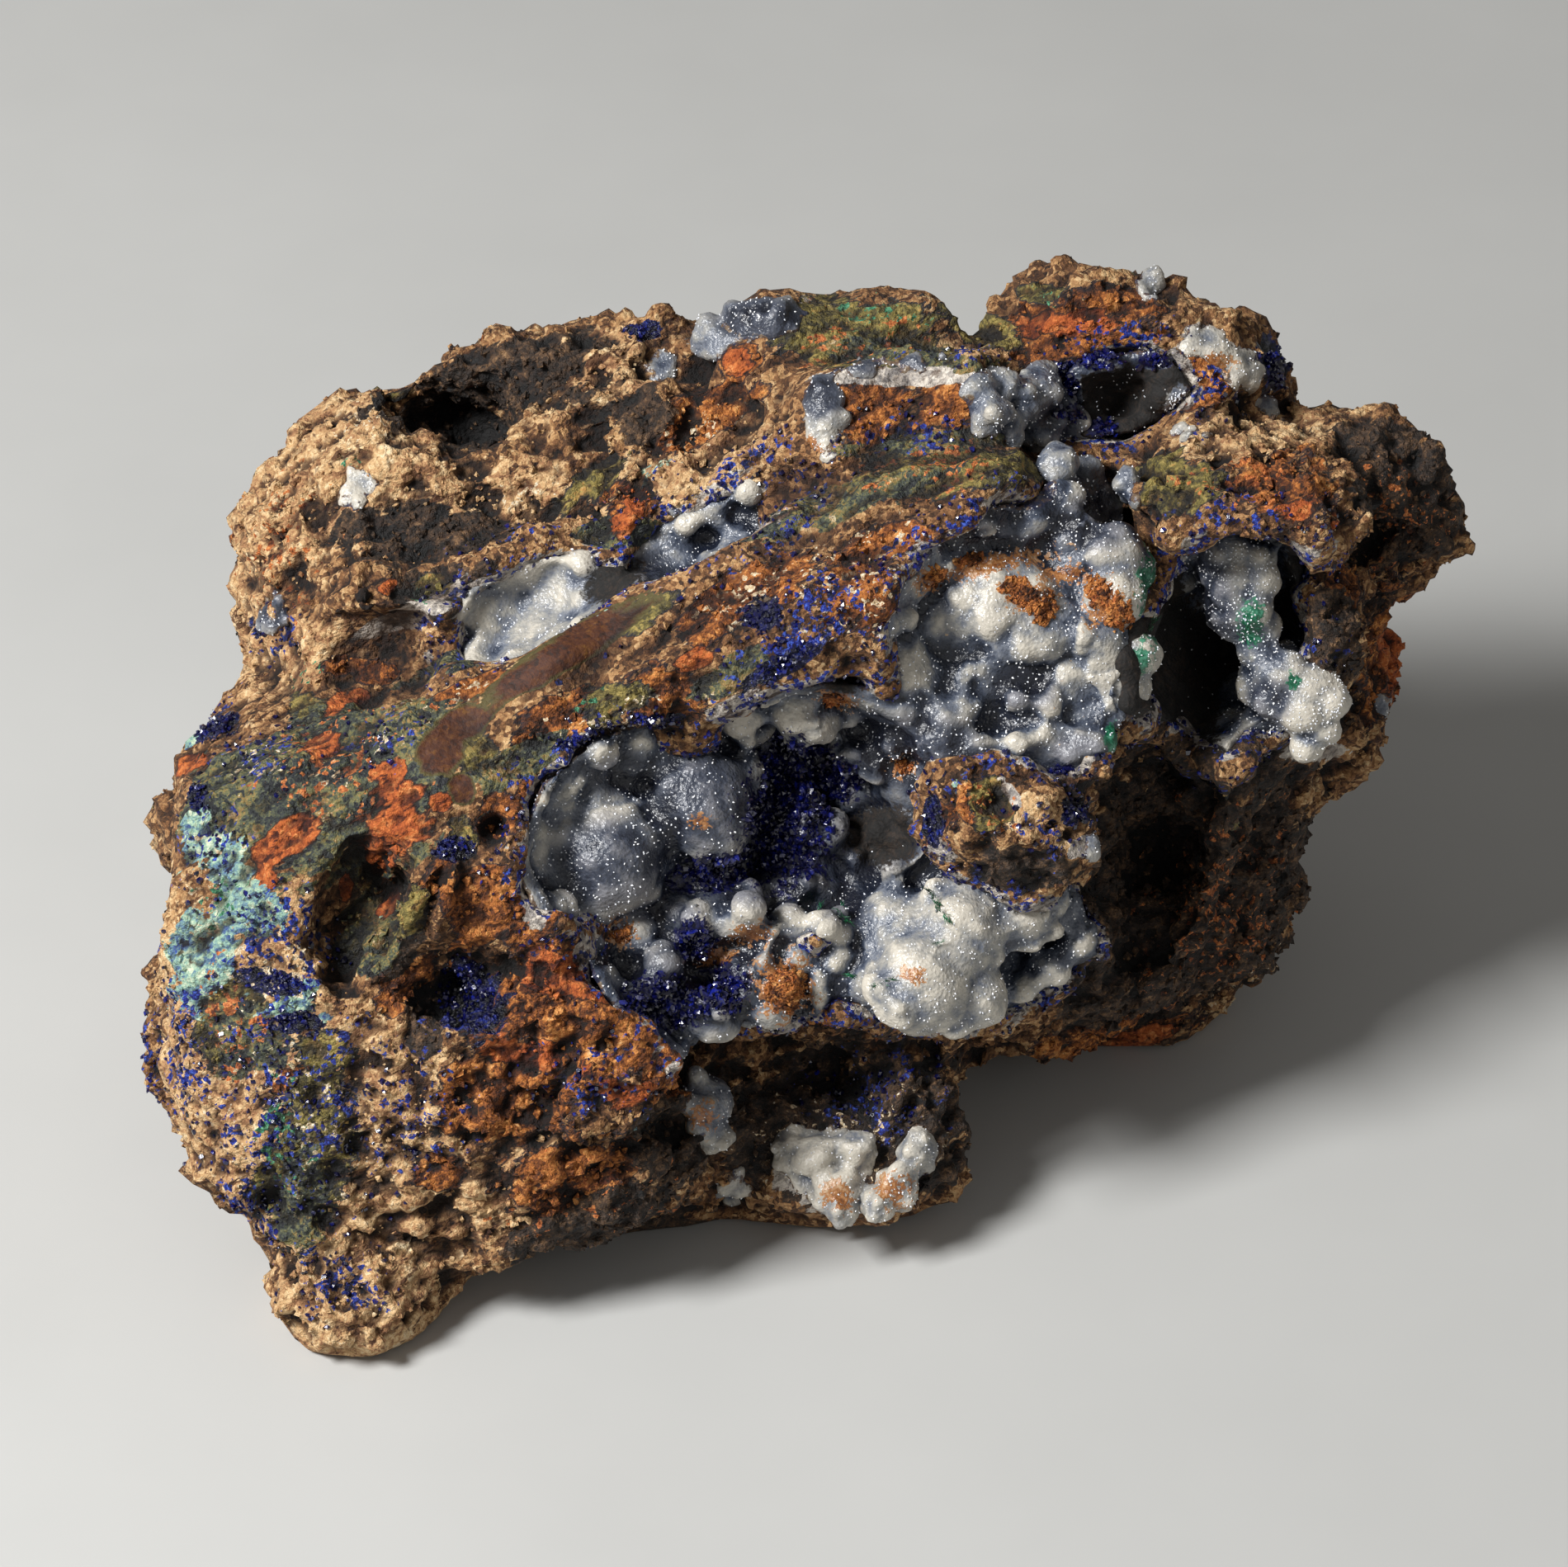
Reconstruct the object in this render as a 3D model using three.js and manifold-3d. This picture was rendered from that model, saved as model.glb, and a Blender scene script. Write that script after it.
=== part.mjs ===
// An azurite and malachite specimen: a block of crumbly brown iron-oxide rock whose open hollows are lined
// with drusy quartz, with beds of azurite crystals and small sprays of malachite needles on the quartz.
//
// Units are millimetres. Shapes are placed on the display face, the side with the open hollows: x runs to
// the right along it, y up it and z out of it. The exported group leans that face back and stands the
// specimen on the broken flat of its base, with +Z up and the face towards -Y.

import * as THREE from "three";
import { ImprovedNoise } from "three/addons/math/ImprovedNoise.js";
import { mergeVertices } from "three/addons/utils/BufferGeometryUtils.js";
import Module from "manifold-3d";

const wasm = await Module();
wasm.setup();

// How the display face sits above the surface that the specimen stands on.
const FACE_LEAN_DEG = 52;
const FACE_PLACE = [-0.1, -5.6, 34];

// Facet sizes of the rock, of its hollows and of the nodules, and the gap that keeps pieces from touching.
const ROCK_FACET = 7;
const HOLLOW_FACET = 7.5;
const NODULE_FACET = 3.4;
const GAP = 0.3;

// Mean half size under which a mass is a plain lump of 20 facets.
const SMALL = 5;

// Thickness of the quartz that lines a hollow, and how much thicker it is on the hollow's floor.
const LINING = 1.3;
const FLOOR_LIFT = 2.6;

// Waves of the broken surface, each with its length, its height and where it starts. The first bends whole
// masses along x, y and z, and the other two break the surface into blunt ridges and a finer grain.
const BEND = { length: 19, height: 3.4, starts: [0.4, 11.7, 23.1].map((start) => [start, 0, start]) };
const RIDGES = { length: 17, height: 2.6, start: [3.1, 7.7, 1.3] };
const GRAIN = { length: 7.5, height: 1.1, start: [0, 0, 0] };
const MEAN_HEIGHT = 1.1;

// Depth of that surface and squareness of the outline where a mass doesn't give its own.
const ROCK_STYLE = { turn: 0, tip: 0, swing: 0, square: 2.2, rough: 2, facet: ROCK_FACET };
const HOLLOW_STYLE = { ...ROCK_STYLE, rough: 0.5, facet: HOLLOW_FACET };

// The masses that make up the rock: centre, half sizes, turns about z, x and y in degrees, squareness of the
// outline, from 2 for round to 5 for a block, and depth of the broken surface.
const ROCK = {
  body: { at: [-2, 6.7, -15.1], half: [44, 24, 27], tip: -52, square: 5, facet: 8 },
  back_body: { at: [6, 22.5, -14.3], half: [36, 15, 20], tip: -60, square: 5 },
  west_body: { at: [-33, 0, -9], half: [16, 24, 26], tip: -52, swing: 8, square: 5 },
  east_body: { at: [34, 12.3, -15.8], half: [13, 17, 22], tip: -52, square: 4 },
  front_core: { at: [3, 0, -2], half: [28, 21, 16], square: 2.6, facet: 10 },
  hollow_back: { at: [19, 15, -4], half: [14, 14, 14], turn: -15 },
  west_block: { at: [-36.3, -13.5, -2], half: [19.8, 24.5, 21], tip: 10, swing: -8, square: 4.5 },
  west_flank: { at: [-49, -24.5, -14], half: [8, 15.5, 15], turn: 18, swing: -20, square: 4 },
  foot: { at: [-40.5, -41.4, 3], half: [7.2, 6.4, 7.6], turn: 30, square: 3 },
  buff_shoulder: { at: [-36.5, 23, -15], half: [16.5, 14, 17], turn: 12, swing: -12, square: 4.5 },
  back_rim: { at: [-20, 36.5, -18], half: [18, 7, 16], turn: 10, tip: -15, square: 4 },
  upper_mid: { at: [-14, 27, -9], half: [21, 11.5, 14], turn: 14, tip: -20, square: 4 },
  top_slab: { at: [3, 40.2, -9], half: [14.5, 5.8, 14], turn: -4, tip: -12, square: 4.5 },
  crown: { at: [30, 41, -9], half: [16, 7, 13], turn: -16, tip: -10, square: 4 },
  crown_knob: { at: [30.5, 48, -8], half: [2.2, 2.6, 2.6], rough: 0.2 },
  west_ridge: { at: [-30, 8.5, 8], half: [17, 6.2, 13], turn: 18, tip: 20, square: 3.4 },
  middle_ridge: { at: [-5, 16.5, 10], half: [20, 5.6, 11], turn: 21, tip: 20, square: 3.4 },
  east_ridge: { at: [12, 27.5, 8], half: [15, 4.8, 10.5], turn: 15, tip: 15, square: 3.4 },
  plateau: { at: [8.5, 34, 0], half: [12.5, 7.5, 11.5], turn: 6, tip: -10, square: 4.5 },
  saddle: { at: [28, 30.5, -4], half: [10, 4, 9] },
  arch: { at: [38.3, 28, 6], half: [11.8, 5, 9.6], turn: -6, tip: 15, square: 3.4 },
  notch_fill: { at: [15, 34.5, -16], half: [16, 8, 12], square: 4, facet: 8 },
  east_fill: { at: [43, 20, -17], half: [9.5, 13, 13], tip: -40, square: 4 },
  east_knob: { at: [49.6, 27.2, -9], half: [8.2, 6.4, 10], turn: -20, tip: -25, square: 3.4 },
  east_tip: { at: [56.5, 25.6, -7], half: [4, 2.6, 3.4], rough: 0.3 },
  east_back: { at: [48.5, 15, -17], half: [5.5, 10, 11], square: 3 },
  pillar: { at: [47, 16.5, -3], half: [3.6, 11, 6], rough: 0.6 },
  east_wall: { at: [30.6, -5.4, -19], half: [12.8, 13.6, 15], turn: 25, swing: 18, square: 3.4 },
  lower_block: { at: [3.5, -29.8, -10], half: [11.5, 7.8, 11], turn: 4, square: 5 },
  ochre_ledge: { at: [-24, -20.5, 10], half: [13, 8, 10], turn: -14, tip: 20, square: 3.6 },
  lower_band: { at: [-23.5, -30.4, 0], half: [16.5, 7.8, 12], turn: 18, tip: 25, square: 3.4 },
  west_nub: { at: [-58, -2.3, -8], half: [2.8, 4.6, 6], rough: 0.3 },
  west_base: { at: [-22, -19.3, -17.6], half: [24, 23, 12], tip: -52, square: 4 },
  east_base: { at: [20, -8.2, -31.8], half: [21, 16, 12], tip: -52, square: 4 },
};

// The openings broken or dissolved into it. The lined ones are under LINED.
const CUTS = {
  west_recess: { at: [-38.5, -9.5, 21], half: [3.4, 7, 7], rough: 0.6 },
  ochre_pocket: { at: [-30.5, -16, 21], half: [6.2, 3.8, 6.5], rough: 0.6 },
  shoulder_hollow: { at: [-31.5, 35.8, -6], half: [6.5, 3.6, 8], turn: -18, rough: 0.6 },
  shoulder_valley: { at: [-40, 14.5, 14], half: [13, 4.2, 10], turn: 12, rough: 0.6 },
  gap_slot: { at: [27.5, 28.5, 14], half: [2, 5, 8], rough: 0.4 },
  low_cave: { at: [32, -4, 12], half: [8.4, 13, 25], turn: -15, rough: 0.6 },
  low_gap: { at: [0.5, -23.3, 6], half: [9.5, 3.2, 13], rough: 0.6 },
};

// The hollows with a quartz lining, each made of overlapping pockets.
const LINED = {
  front: [
    { at: [-13, -3, 20], half: [14, 10.5, 15.5] },
    { at: [1.5, 0, 14], half: [13.5, 12.2, 17.5] },
    { at: [20, 14.5, 20], half: [15.5, 13.5, 14.5], turn: 15 },
    { at: [-8, -15.5, 17], half: [14.5, 8, 13.5], turn: -20 },
    { at: [13.5, -13, 14], half: [13.5, 11.5, 14.5] },
  ],
  cave: [{ at: [38, 14, 10], half: [9, 12, 25], turn: -15 }],
  trench: [
    { at: [-24.5, 18.6, 12], half: [11.5, 5.2, 10], turn: 22 },
    { at: [-9, 25.4, 10], half: [12, 4.8, 10], turn: 24 },
  ],
  crown: [{ at: [28, 37, 6], half: [6.5, 3.6, 14] }],
};

// A lump of rock that stands up inside the front hollow, on its neck.
const KNOB = [
  { at: [17.7, -1.2, 13], half: [8.8, 5.2, 5], turn: -16, rough: 0.6 },
  { at: [15.5, -1.5, 0], half: [4.2, 3.4, 13], rough: 0.3 },
];

// Nodules of quartz and of azurite in the front hollow, each [x, y, z, radius].
const NODULES = {
  upper: [
    [11.8, 19.6, 10.5, 4.6], [18, 23.4, 11, 4.6], [24.8, 23, 10.5, 4.3], [17.4, 15.8, 11.5, 4.8],
    [24.4, 16.6, 11, 4.6], [30, 19, 10, 4], [13, 10.6, 9.8, 4.3], [19.8, 9, 10.2, 4.3],
    [27, 10.6, 10.2, 4.3], [7, 6.4, 6.4, 4.5],
  ],
  west: [
    [-6, 8.8, 12, 2.6], [0, 8.9, 11.6, 3.2], [-17.7, -3.5, 11.5, 5.4], [-20.8, 2.4, 10.5, 3.8],
    [-9.6, 1.2, 10.5, 4.8],
  ],
  lower: [[-18.5, -12, 11, 3.4], [-13.5, -15.4, 11, 3.6], [-8.4, -18.2, 10.6, 3], [-4, -15, 10, 3.6]],
  pillow: [[10, -14.8, 9.6, 5.4], [13.8, -10.6, 9, 5], [19, -9.6, 8, 3.8]],
  azurite: [[-2.2, 5.6, 1.6, 4.4], [-6, -1.8, 2, 4.4], [-1.2, -2.2, 4, 4.4]],
  lip: [[-1.8, -7.6, 5.4, 3.5]],
};

// The quartz that hangs in the cave, below the arch.
const TONGUES = [[37.6, 22.8, 5, 3.8], [38.6, 18, 4, 3.2], [42.6, 11.8, 1, 4], [44.6, 8.4, 0, 3.2]];

// Where sprays of malachite needles stand on the quartz, and the size of a needle.
const SPRAYS = {
  front: [
    [5.4, -15.2, 12], [11.6, -8.4, 12], [11.8, -12, 13], [15.6, -17, 11.5], [30.4, 21, 12], [31, 17, 11.5],
  ],
  cave: [[39.4, 17.6, 6.6], [44.2, 11.4, 4]],
};
const NEEDLE = { radius: 0.5, length: 2.4, sides: 3, splay: 0.6, count: 3 };

// The space under the specimen, which the rock is cut off by.
const GROUND = { width: 400, depth: 100 };

const LOOKS = {
  rock: { color: 0x8a5a30, roughness: 0.92, metalness: 0 },
  quartz: { color: 0xd9dad6, roughness: 0.45, metalness: 0 },
  azurite: { color: 0x14207a, roughness: 0.35, metalness: 0 },
};

const noise = new ImprovedNoise();

function wave({ x, y, z }, length, start) {
  return noise.noise(x / length + start[0], y / length + start[1], z / length + start[2]);
}

// The height of the broken surface at a point, from about -1 to 1.
function brokenness(place) {
  const ridges = RIDGES.height * Math.abs(wave(place, RIDGES.length, RIDGES.start));
  const grain = GRAIN.height * Math.abs(wave(place, GRAIN.length, GRAIN.start));
  return MEAN_HEIGHT - ridges - grain;
}

// How far the rock is bent out of plain rounded shapes at a point.
function bend(place) {
  return new THREE.Vector3(...BEND.starts.map((start) => BEND.height * wave(place, BEND.length, start)));
}

// A closed geometry as a solid that can be joined and cut.
function solidOf(geometry) {
  geometry.deleteAttribute("normal");
  geometry.deleteAttribute("uv");
  const merged = mergeVertices(geometry);
  return new wasm.Manifold(
    new wasm.Mesh({
      numProp: 3,
      vertProperties: new Float32Array(merged.getAttribute("position").array),
      triVerts: new Uint32Array(merged.index.array),
    }),
  );
}

const joined = (solids) => solids.reduce((whole, solid) => whole.add(solid));

// The largest closed body of a solid, with any sealed hollow in it filled.
function largest(solid) {
  return solid.decompose().reduce((a, b) => (b.volume() > a.volume() ? b : a));
}

// How finely an icosahedron is divided for facets of about the given size.
const divisions = (radius, facet) => Math.round((1.1 * radius) / facet) - 1;

// A rounded, rough mass. A positive grow makes it larger all over by that much, a negative one smaller, and
// a lift moves it out of the face.
function mass(spec, grow = 0, lift = 0) {
  const { at, half, turn, tip, swing, square, rough, facet } = { ...ROCK_STYLE, ...spec };
  const meanHalf = (half[0] + half[1] + half[2]) / 3;
  const least = meanHalf < SMALL ? 0 : 1;
  const ball = new THREE.IcosahedronGeometry(1, Math.max(divisions(meanHalf, facet), least));
  const position = ball.getAttribute("position");
  const rotation = new THREE.Euler(...[tip, swing, turn].map(THREE.MathUtils.degToRad), "ZYX");
  const centre = new THREE.Vector3(...at);
  const ray = new THREE.Vector3();
  const place = new THREE.Vector3();
  for (let i = 0; i < position.count; i++) {
    ray.fromBufferAttribute(position, i).normalize();
    const parts = ray.toArray().map((part, axis) => Math.abs(part / half[axis]) ** square);
    const reach = (parts[0] + parts[1] + parts[2]) ** (-1 / square);
    ray.applyEuler(rotation);
    place.copy(ray).multiplyScalar(reach).add(centre);
    place.addScaledVector(ray, grow + rough * brokenness(place));
    place.add(bend(place));
    position.setXYZ(i, place.x, place.y, place.z + lift);
  }
  return solidOf(ball);
}

const masses = (specs, grow, lift) => joined(Object.values(specs).map((spec) => mass(spec, grow, lift)));

function pocketsOf(specs, grow, lift) {
  return masses(specs.map((spec) => ({ ...HOLLOW_STYLE, ...spec })), grow, lift);
}

// A round growth, turned by its place so that no two neighbours show the same facets.
function nodule([x, y, z, radius]) {
  const ball = new THREE.IcosahedronGeometry(radius, Math.max(divisions(radius, NODULE_FACET), 0));
  return solidOf(ball.rotateX(x).rotateY(y).translate(x, y, z));
}

// A few needles that fan out from one point of the quartz.
function spray([x, y, z]) {
  const needles = [];
  for (let i = 0; i < NEEDLE.count; i++) {
    const needle = new THREE.ConeGeometry(NEEDLE.radius, NEEDLE.length, NEEDLE.sides).rotateX(Math.PI / 2);
    needle.translate(0, 0, NEEDLE.length / 3).rotateX(NEEDLE.splay);
    needles.push(solidOf(needle.rotateZ(x + (2 * Math.PI * i) / NEEDLE.count).translate(x, y, z)));
  }
  return joined(needles);
}

const faceFrame = new THREE.Group();
faceFrame.rotation.x = THREE.MathUtils.degToRad(FACE_LEAN_DEG);
faceFrame.position.set(...FACE_PLACE);
faceFrame.updateMatrixWorld(true);

// Everything under the surface that the specimen stands on.
function belowTheBase() {
  const ground = new THREE.BoxGeometry(GROUND.width, GROUND.width, GROUND.depth);
  ground.translate(0, 0, -GROUND.depth / 2);
  return solidOf(ground.applyMatrix4(faceFrame.matrixWorld.clone().invert()));
}

const ground = belowTheBase();
const block = masses(ROCK).subtract(masses(CUTS)).subtract(ground);

function matrix() {
  const hollows = joined(Object.values(LINED).map((pockets) => pocketsOf(pockets)));
  return largest(block.subtract(hollows).add(masses(KNOB).subtract(ground)));
}

// The quartz that lines a hollow, with the nodules and sprays that grew on it.
function crust(pockets, { nodules = [], sprays = [], neighbours = [] } = {}) {
  const room = neighbours.reduce((left, other) => left.subtract(pocketsOf(other)), pocketsOf(pockets, -GAP));
  const lining = room.subtract(pocketsOf(pockets, -GAP - LINING, FLOOR_LIFT)).intersect(block);
  const grown = [...nodules.map(nodule), ...sprays.map(spray)].map((solid) => solid.intersect(room));
  return largest(joined([lining, ...grown]).subtract(masses(KNOB, GAP)));
}

function piece(name, solid, look) {
  const { vertProperties, triVerts } = solid.getMesh();
  const geometry = new THREE.BufferGeometry();
  geometry.setAttribute("position", new THREE.BufferAttribute(new Float32Array(vertProperties), 3));
  geometry.setIndex(new THREE.BufferAttribute(new Uint32Array(triVerts), 1));
  const mesh = new THREE.Mesh(geometry, new THREE.MeshStandardMaterial(look));
  mesh.name = name;
  return mesh;
}

const frontGrowth = {
  nodules: Object.values(NODULES).flat(),
  sprays: SPRAYS.front,
  neighbours: [LINED.cave],
};

faceFrame.add(
  piece("matrix", matrix(), LOOKS.rock),
  piece("crust_front_hollow", crust(LINED.front, frontGrowth), LOOKS.quartz),
  piece("crust_cave", crust(LINED.cave, { nodules: TONGUES, sprays: SPRAYS.cave }), LOOKS.quartz),
  piece("crust_trench", crust(LINED.trench), LOOKS.quartz),
  piece("crust_crown_hollow", crust(LINED.crown), LOOKS.azurite),
);

export default faceFrame;
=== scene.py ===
"""Finish of an azurite and malachite specimen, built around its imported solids.

The rock is a crumbly block of iron oxides with open hollows. Drusy quartz lines the hollows, azurite crystals
and sprays of malachite needles stand on it, and thin skins of other minerals colour the rock outside.
"""

import logging
import math
from collections.abc import Sequence
from dataclasses import dataclass, field
from enum import Enum

import bpy
import numpy as np
from mathutils import Matrix, Vector
from mathutils.bvhtree import BVHTree


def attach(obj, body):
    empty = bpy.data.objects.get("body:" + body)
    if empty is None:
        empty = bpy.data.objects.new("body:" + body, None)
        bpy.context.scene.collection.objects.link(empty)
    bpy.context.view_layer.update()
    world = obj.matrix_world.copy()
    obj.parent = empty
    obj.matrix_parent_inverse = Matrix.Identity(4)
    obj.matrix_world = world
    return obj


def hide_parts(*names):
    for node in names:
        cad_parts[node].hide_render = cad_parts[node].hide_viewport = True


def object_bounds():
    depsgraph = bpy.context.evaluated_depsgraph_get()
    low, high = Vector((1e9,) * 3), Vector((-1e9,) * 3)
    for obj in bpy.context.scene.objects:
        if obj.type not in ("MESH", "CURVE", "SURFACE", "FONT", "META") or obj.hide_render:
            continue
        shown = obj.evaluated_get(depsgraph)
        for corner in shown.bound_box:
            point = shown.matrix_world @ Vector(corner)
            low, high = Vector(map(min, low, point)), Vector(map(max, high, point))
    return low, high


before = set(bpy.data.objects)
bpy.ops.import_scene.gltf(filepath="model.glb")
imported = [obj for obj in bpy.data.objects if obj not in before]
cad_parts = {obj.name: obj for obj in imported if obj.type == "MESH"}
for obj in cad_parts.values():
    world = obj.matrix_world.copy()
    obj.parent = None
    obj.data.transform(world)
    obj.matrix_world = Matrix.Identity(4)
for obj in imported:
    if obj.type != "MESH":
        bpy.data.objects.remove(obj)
cad_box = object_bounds()

log = logging.getLogger("specimen")

MM = 0.001
WEIGHT_LEVELS = 16
JOIN_GAP = 0.001
LEAST_AREA = 1e-12
WAVE_SHARE = 0.7
QUARTZ_IOR = 1.54
CHIP_STRETCH = (0.6, 1.2)

Array = np.ndarray
Generator = np.random.Generator
Piece = bpy.types.Object
Socket = bpy.types.NodeSocket
Material = bpy.types.Material
Triple = tuple[float, float, float]
Colour = Triple
Pair = tuple[float, float]
Ball = tuple[float, float, float, float]
Tuft = tuple[float, float, float, float]
Scales = tuple[tuple[int, float], ...]
Patch = tuple[float, ...]
Patches = tuple[Patch, ...]
Stroke = tuple[float, float, float, float, float, float]
Stops = tuple[tuple[float, Colour], ...]


class Slot(Enum):
    """The record's material slots."""

    ROCK = "rock"
    QUARTZ = "quartz"
    AZURITE = "azurite"
    MALACHITE = "malachite"


class Tint(Enum):
    """Minerals and stains that colour the surface, each an attribute of the meshes."""

    BUFF = "buff"
    OCHRE = "ochre"
    # Dark goethite; on the quartz of the cave, the crown hollow and some deep openings also painted shade
    GOETHITE = "goethite"
    OLIVE = "olive"
    SLATE = "slate"
    ORANGE = "orange"
    STREAK = "streak"
    MILKY = "milky"
    POWDER = "powder"
    BLUE = "blue"
    GREEN = "green"
    # Smoky quartz; a few patches also paint the shade in deep openings
    SMOKY = "smoky"
    PALE = "pale"
    RUST = "rust"
    AZURE = "azure"
    CONTACT = "contact"


# Attributes that tell how far the surface stands out, which the finishes turn into painted shade in hollows
# and pits, and how coarse it is
CREST_SHADE = "crest_shade"
GRIT = "grit"


Stains = dict[Tint, Patches]


# The display face


@dataclass(frozen=True)
class DisplayFace:
    """The leaning face with the open hollows: x runs right, w up the face and t out of it, in millimetres.

    Patches are placed as they look from the eye, on the plane t = 0.
    """

    lean: float = math.radians(52.0)
    origin: Triple = (-0.1, -5.6, 34.0)
    eye: Triple = (-2.1, 2.3, 600.0)

    def turn(self) -> Matrix:
        """Return the turn from the face's axes to the world's."""
        return Matrix.Rotation(self.lean, 3, "X")

    def world(self, point: Sequence[float]) -> Vector:
        """Return the place in metres of a point of the face.

        Args:
            point: x, w and t in millimetres.

        Returns:
            The point in the frame of the part.
        """
        return (self.turn() @ Vector(point) + Vector(self.origin)) * MM

    def worlds(self, points: Array) -> Array:
        """Return the places in metres of many points of the face, one a row."""
        return (points @ np.array(self.turn()).T + np.array(self.origin)) * MM

    def coordinates(self, places: Array) -> Array:
        """Return x, w and t in millimetres of places in metres, one a row."""
        return (places / MM - np.array(self.origin)) @ np.array(self.turn())

    def directions(self, normals: Array) -> Array:
        """Return world directions as directions of the face, one a row."""
        return normals @ np.array(self.turn())

    def seen(self, points: Array) -> Array:
        """Return where points of the face show from the eye, as x and w on the plane t = 0."""
        reach = self.eye[2] / (self.eye[2] - points[:, 2:3])
        middle = np.array(self.eye[:2])
        return middle + (points[:, :2] - middle) * reach

    def depth(self, tree: BVHTree, x: float, w: float) -> float:
        """Return the height t of the solid that shows at a place of the face.

        Args:
            tree: The triangles to look at, in metres.
            x: Place along the face, as seen from the eye.
            w: Place up the face, as seen from the eye.

        Returns:
            The height in millimetres, of the nearest part of the solid where the line of sight misses it.
        """
        start = self.world(self.eye)
        target = self.world((x, w, 0.0))
        hit = tree.ray_cast(start, (target - start).normalized())[0]
        if hit is None:
            hit = tree.find_nearest(target)[0]
        return float(self.coordinates(np.array(hit)[None, :])[0, 2])

    def spot(self, tree: BVHTree, x: float, w: float) -> Array:
        """Return x, w and t of the solid that shows at a place of the face, as seen from the eye."""
        height = self.depth(tree, x, w)
        scale = 1.0 - height / self.eye[2]
        along, up = (middle + (seen - middle) * scale for middle, seen in zip(self.eye, (x, w)))
        return np.array([along, up, height])


FACE = DisplayFace()


# Meshes


def pick(piece: Piece) -> None:
    """Select one object alone and make it active."""
    bpy.ops.object.select_all(action="DESELECT")
    piece.select_set(True)
    bpy.context.view_layer.objects.active = piece


def new_piece(name: str, mesh: bpy.types.Mesh) -> Piece:
    """Link a mesh to the scene as an object at the origin."""
    piece = bpy.data.objects.new(name, mesh)
    bpy.context.scene.collection.objects.link(piece)
    return piece


def copy_of(node: str, name: str) -> Piece:
    """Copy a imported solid, with its loose triangles joined up.

    Args:
        node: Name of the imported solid.
        name: Name of the new piece.

    Returns:
        The new piece, a closed mesh.
    """
    piece = new_piece(name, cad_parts[node].data.copy())
    piece.data.name = name
    piece.data.materials.clear()
    pick(piece)
    bpy.ops.object.mode_set(mode="EDIT")
    bpy.ops.mesh.select_all(action="SELECT")
    bpy.ops.mesh.remove_doubles(threshold=JOIN_GAP * MM)
    bpy.ops.object.mode_set(mode="OBJECT")
    if piece.data.has_custom_normals:
        bpy.ops.mesh.customdata_custom_splitnormals_clear()
    return piece


def join(piece: Piece, extra: Piece) -> None:
    """Join an object to a piece."""
    pick(piece)
    extra.select_set(True)
    bpy.ops.object.join()


def places_of(piece: Piece) -> Array:
    """Return the places of a mesh's vertices in metres, one a row."""
    places = np.empty(len(piece.data.vertices) * 3, np.float32)
    piece.data.vertices.foreach_get("co", places)
    return places.reshape(-1, 3).astype(float)


def normals_of(piece: Piece) -> Array:
    """Return the normals of a mesh's vertices, one a row."""
    normals = np.empty(len(piece.data.vertices) * 3, np.float32)
    piece.data.vertex_normals.foreach_get("vector", normals)
    return normals.reshape(-1, 3).astype(float)


def move_to(piece: Piece, places: Array) -> None:
    """Put a mesh's vertices at places in metres, one a row."""
    piece.data.vertices.foreach_set("co", places.astype(np.float32).ravel())
    piece.data.update()


def remesh(piece: Piece, voxel: float, rounds: int) -> None:
    """Rebuild a closed mesh from even cells and soften its corners.

    Args:
        piece: The mesh.
        voxel: Size of a cell in millimetres.
        rounds: How many times the corners are softened.
    """
    pick(piece)
    cells = piece.modifiers.new("cells", "REMESH")
    cells.mode = "VOXEL"
    cells.voxel_size = voxel * MM
    bpy.ops.object.modifier_apply(modifier=cells.name)
    soften = piece.modifiers.new("soften", "SMOOTH")
    soften.factor = 0.5
    soften.iterations = rounds
    bpy.ops.object.modifier_apply(modifier=soften.name)


def crests(piece: Piece, rounds: int) -> Array:
    """Return how far each vertex stands out of the surface round it.

    Args:
        piece: The mesh.
        rounds: How many times the surface is evened out for the comparison, which sets how wide it looks.

    Returns:
        Heights in millimetres, negative in pits.
    """
    pairs = np.empty(len(piece.data.edges) * 2, np.int32)
    piece.data.edges.foreach_get("vertices", pairs)
    pairs = np.concatenate([pairs.reshape(-1, 2), pairs.reshape(-1, 2)[:, ::-1]])
    count = np.bincount(pairs[:, 0], minlength=len(piece.data.vertices))[:, None]
    places = places_of(piece)
    even = places.copy()
    for _ in range(rounds):
        near = [np.bincount(pairs[:, 0], even[pairs[:, 1], axis], len(even)) for axis in range(3)]
        even = 0.5 * even + 0.5 * np.stack(near, axis=1) / np.maximum(count, 1)
    return ((places - even) * normals_of(piece)).sum(axis=1) / MM


def crest_level(piece: Piece, scales: Scales) -> Array:
    """Return how far each vertex stands out, from 0 in pits over one half on even ground to 1 on crests.

    Args:
        piece: The mesh.
        scales: Rounds of evening out, and what a height of a millimetre adds, for each scale.

    Returns:
        A number for each vertex.
    """
    return np.clip(sum((weight * crests(piece, rounds) for rounds, weight in scales), 0.5), 0.0, 1.0)


def dress(piece: Piece, material: Material, smooth: bool = False) -> Piece:
    """Give a piece its material, and smooth shading if asked, and return it."""
    if smooth:
        pick(piece)
        bpy.ops.object.shade_smooth()
    piece.data.materials.append(material)
    return piece


def keep_in_box(piece: Piece) -> None:
    """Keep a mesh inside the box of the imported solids."""
    low, high = cad_box
    move_to(piece, np.clip(places_of(piece), np.array(low), np.array(high)))


def store(piece: Piece, name: str, values: Array) -> None:
    """Store one number for each vertex as an attribute of a mesh."""
    attribute = piece.data.attributes.new(name, "FLOAT", "POINT")
    attribute.data.foreach_set("value", values.astype(np.float32))


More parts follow.
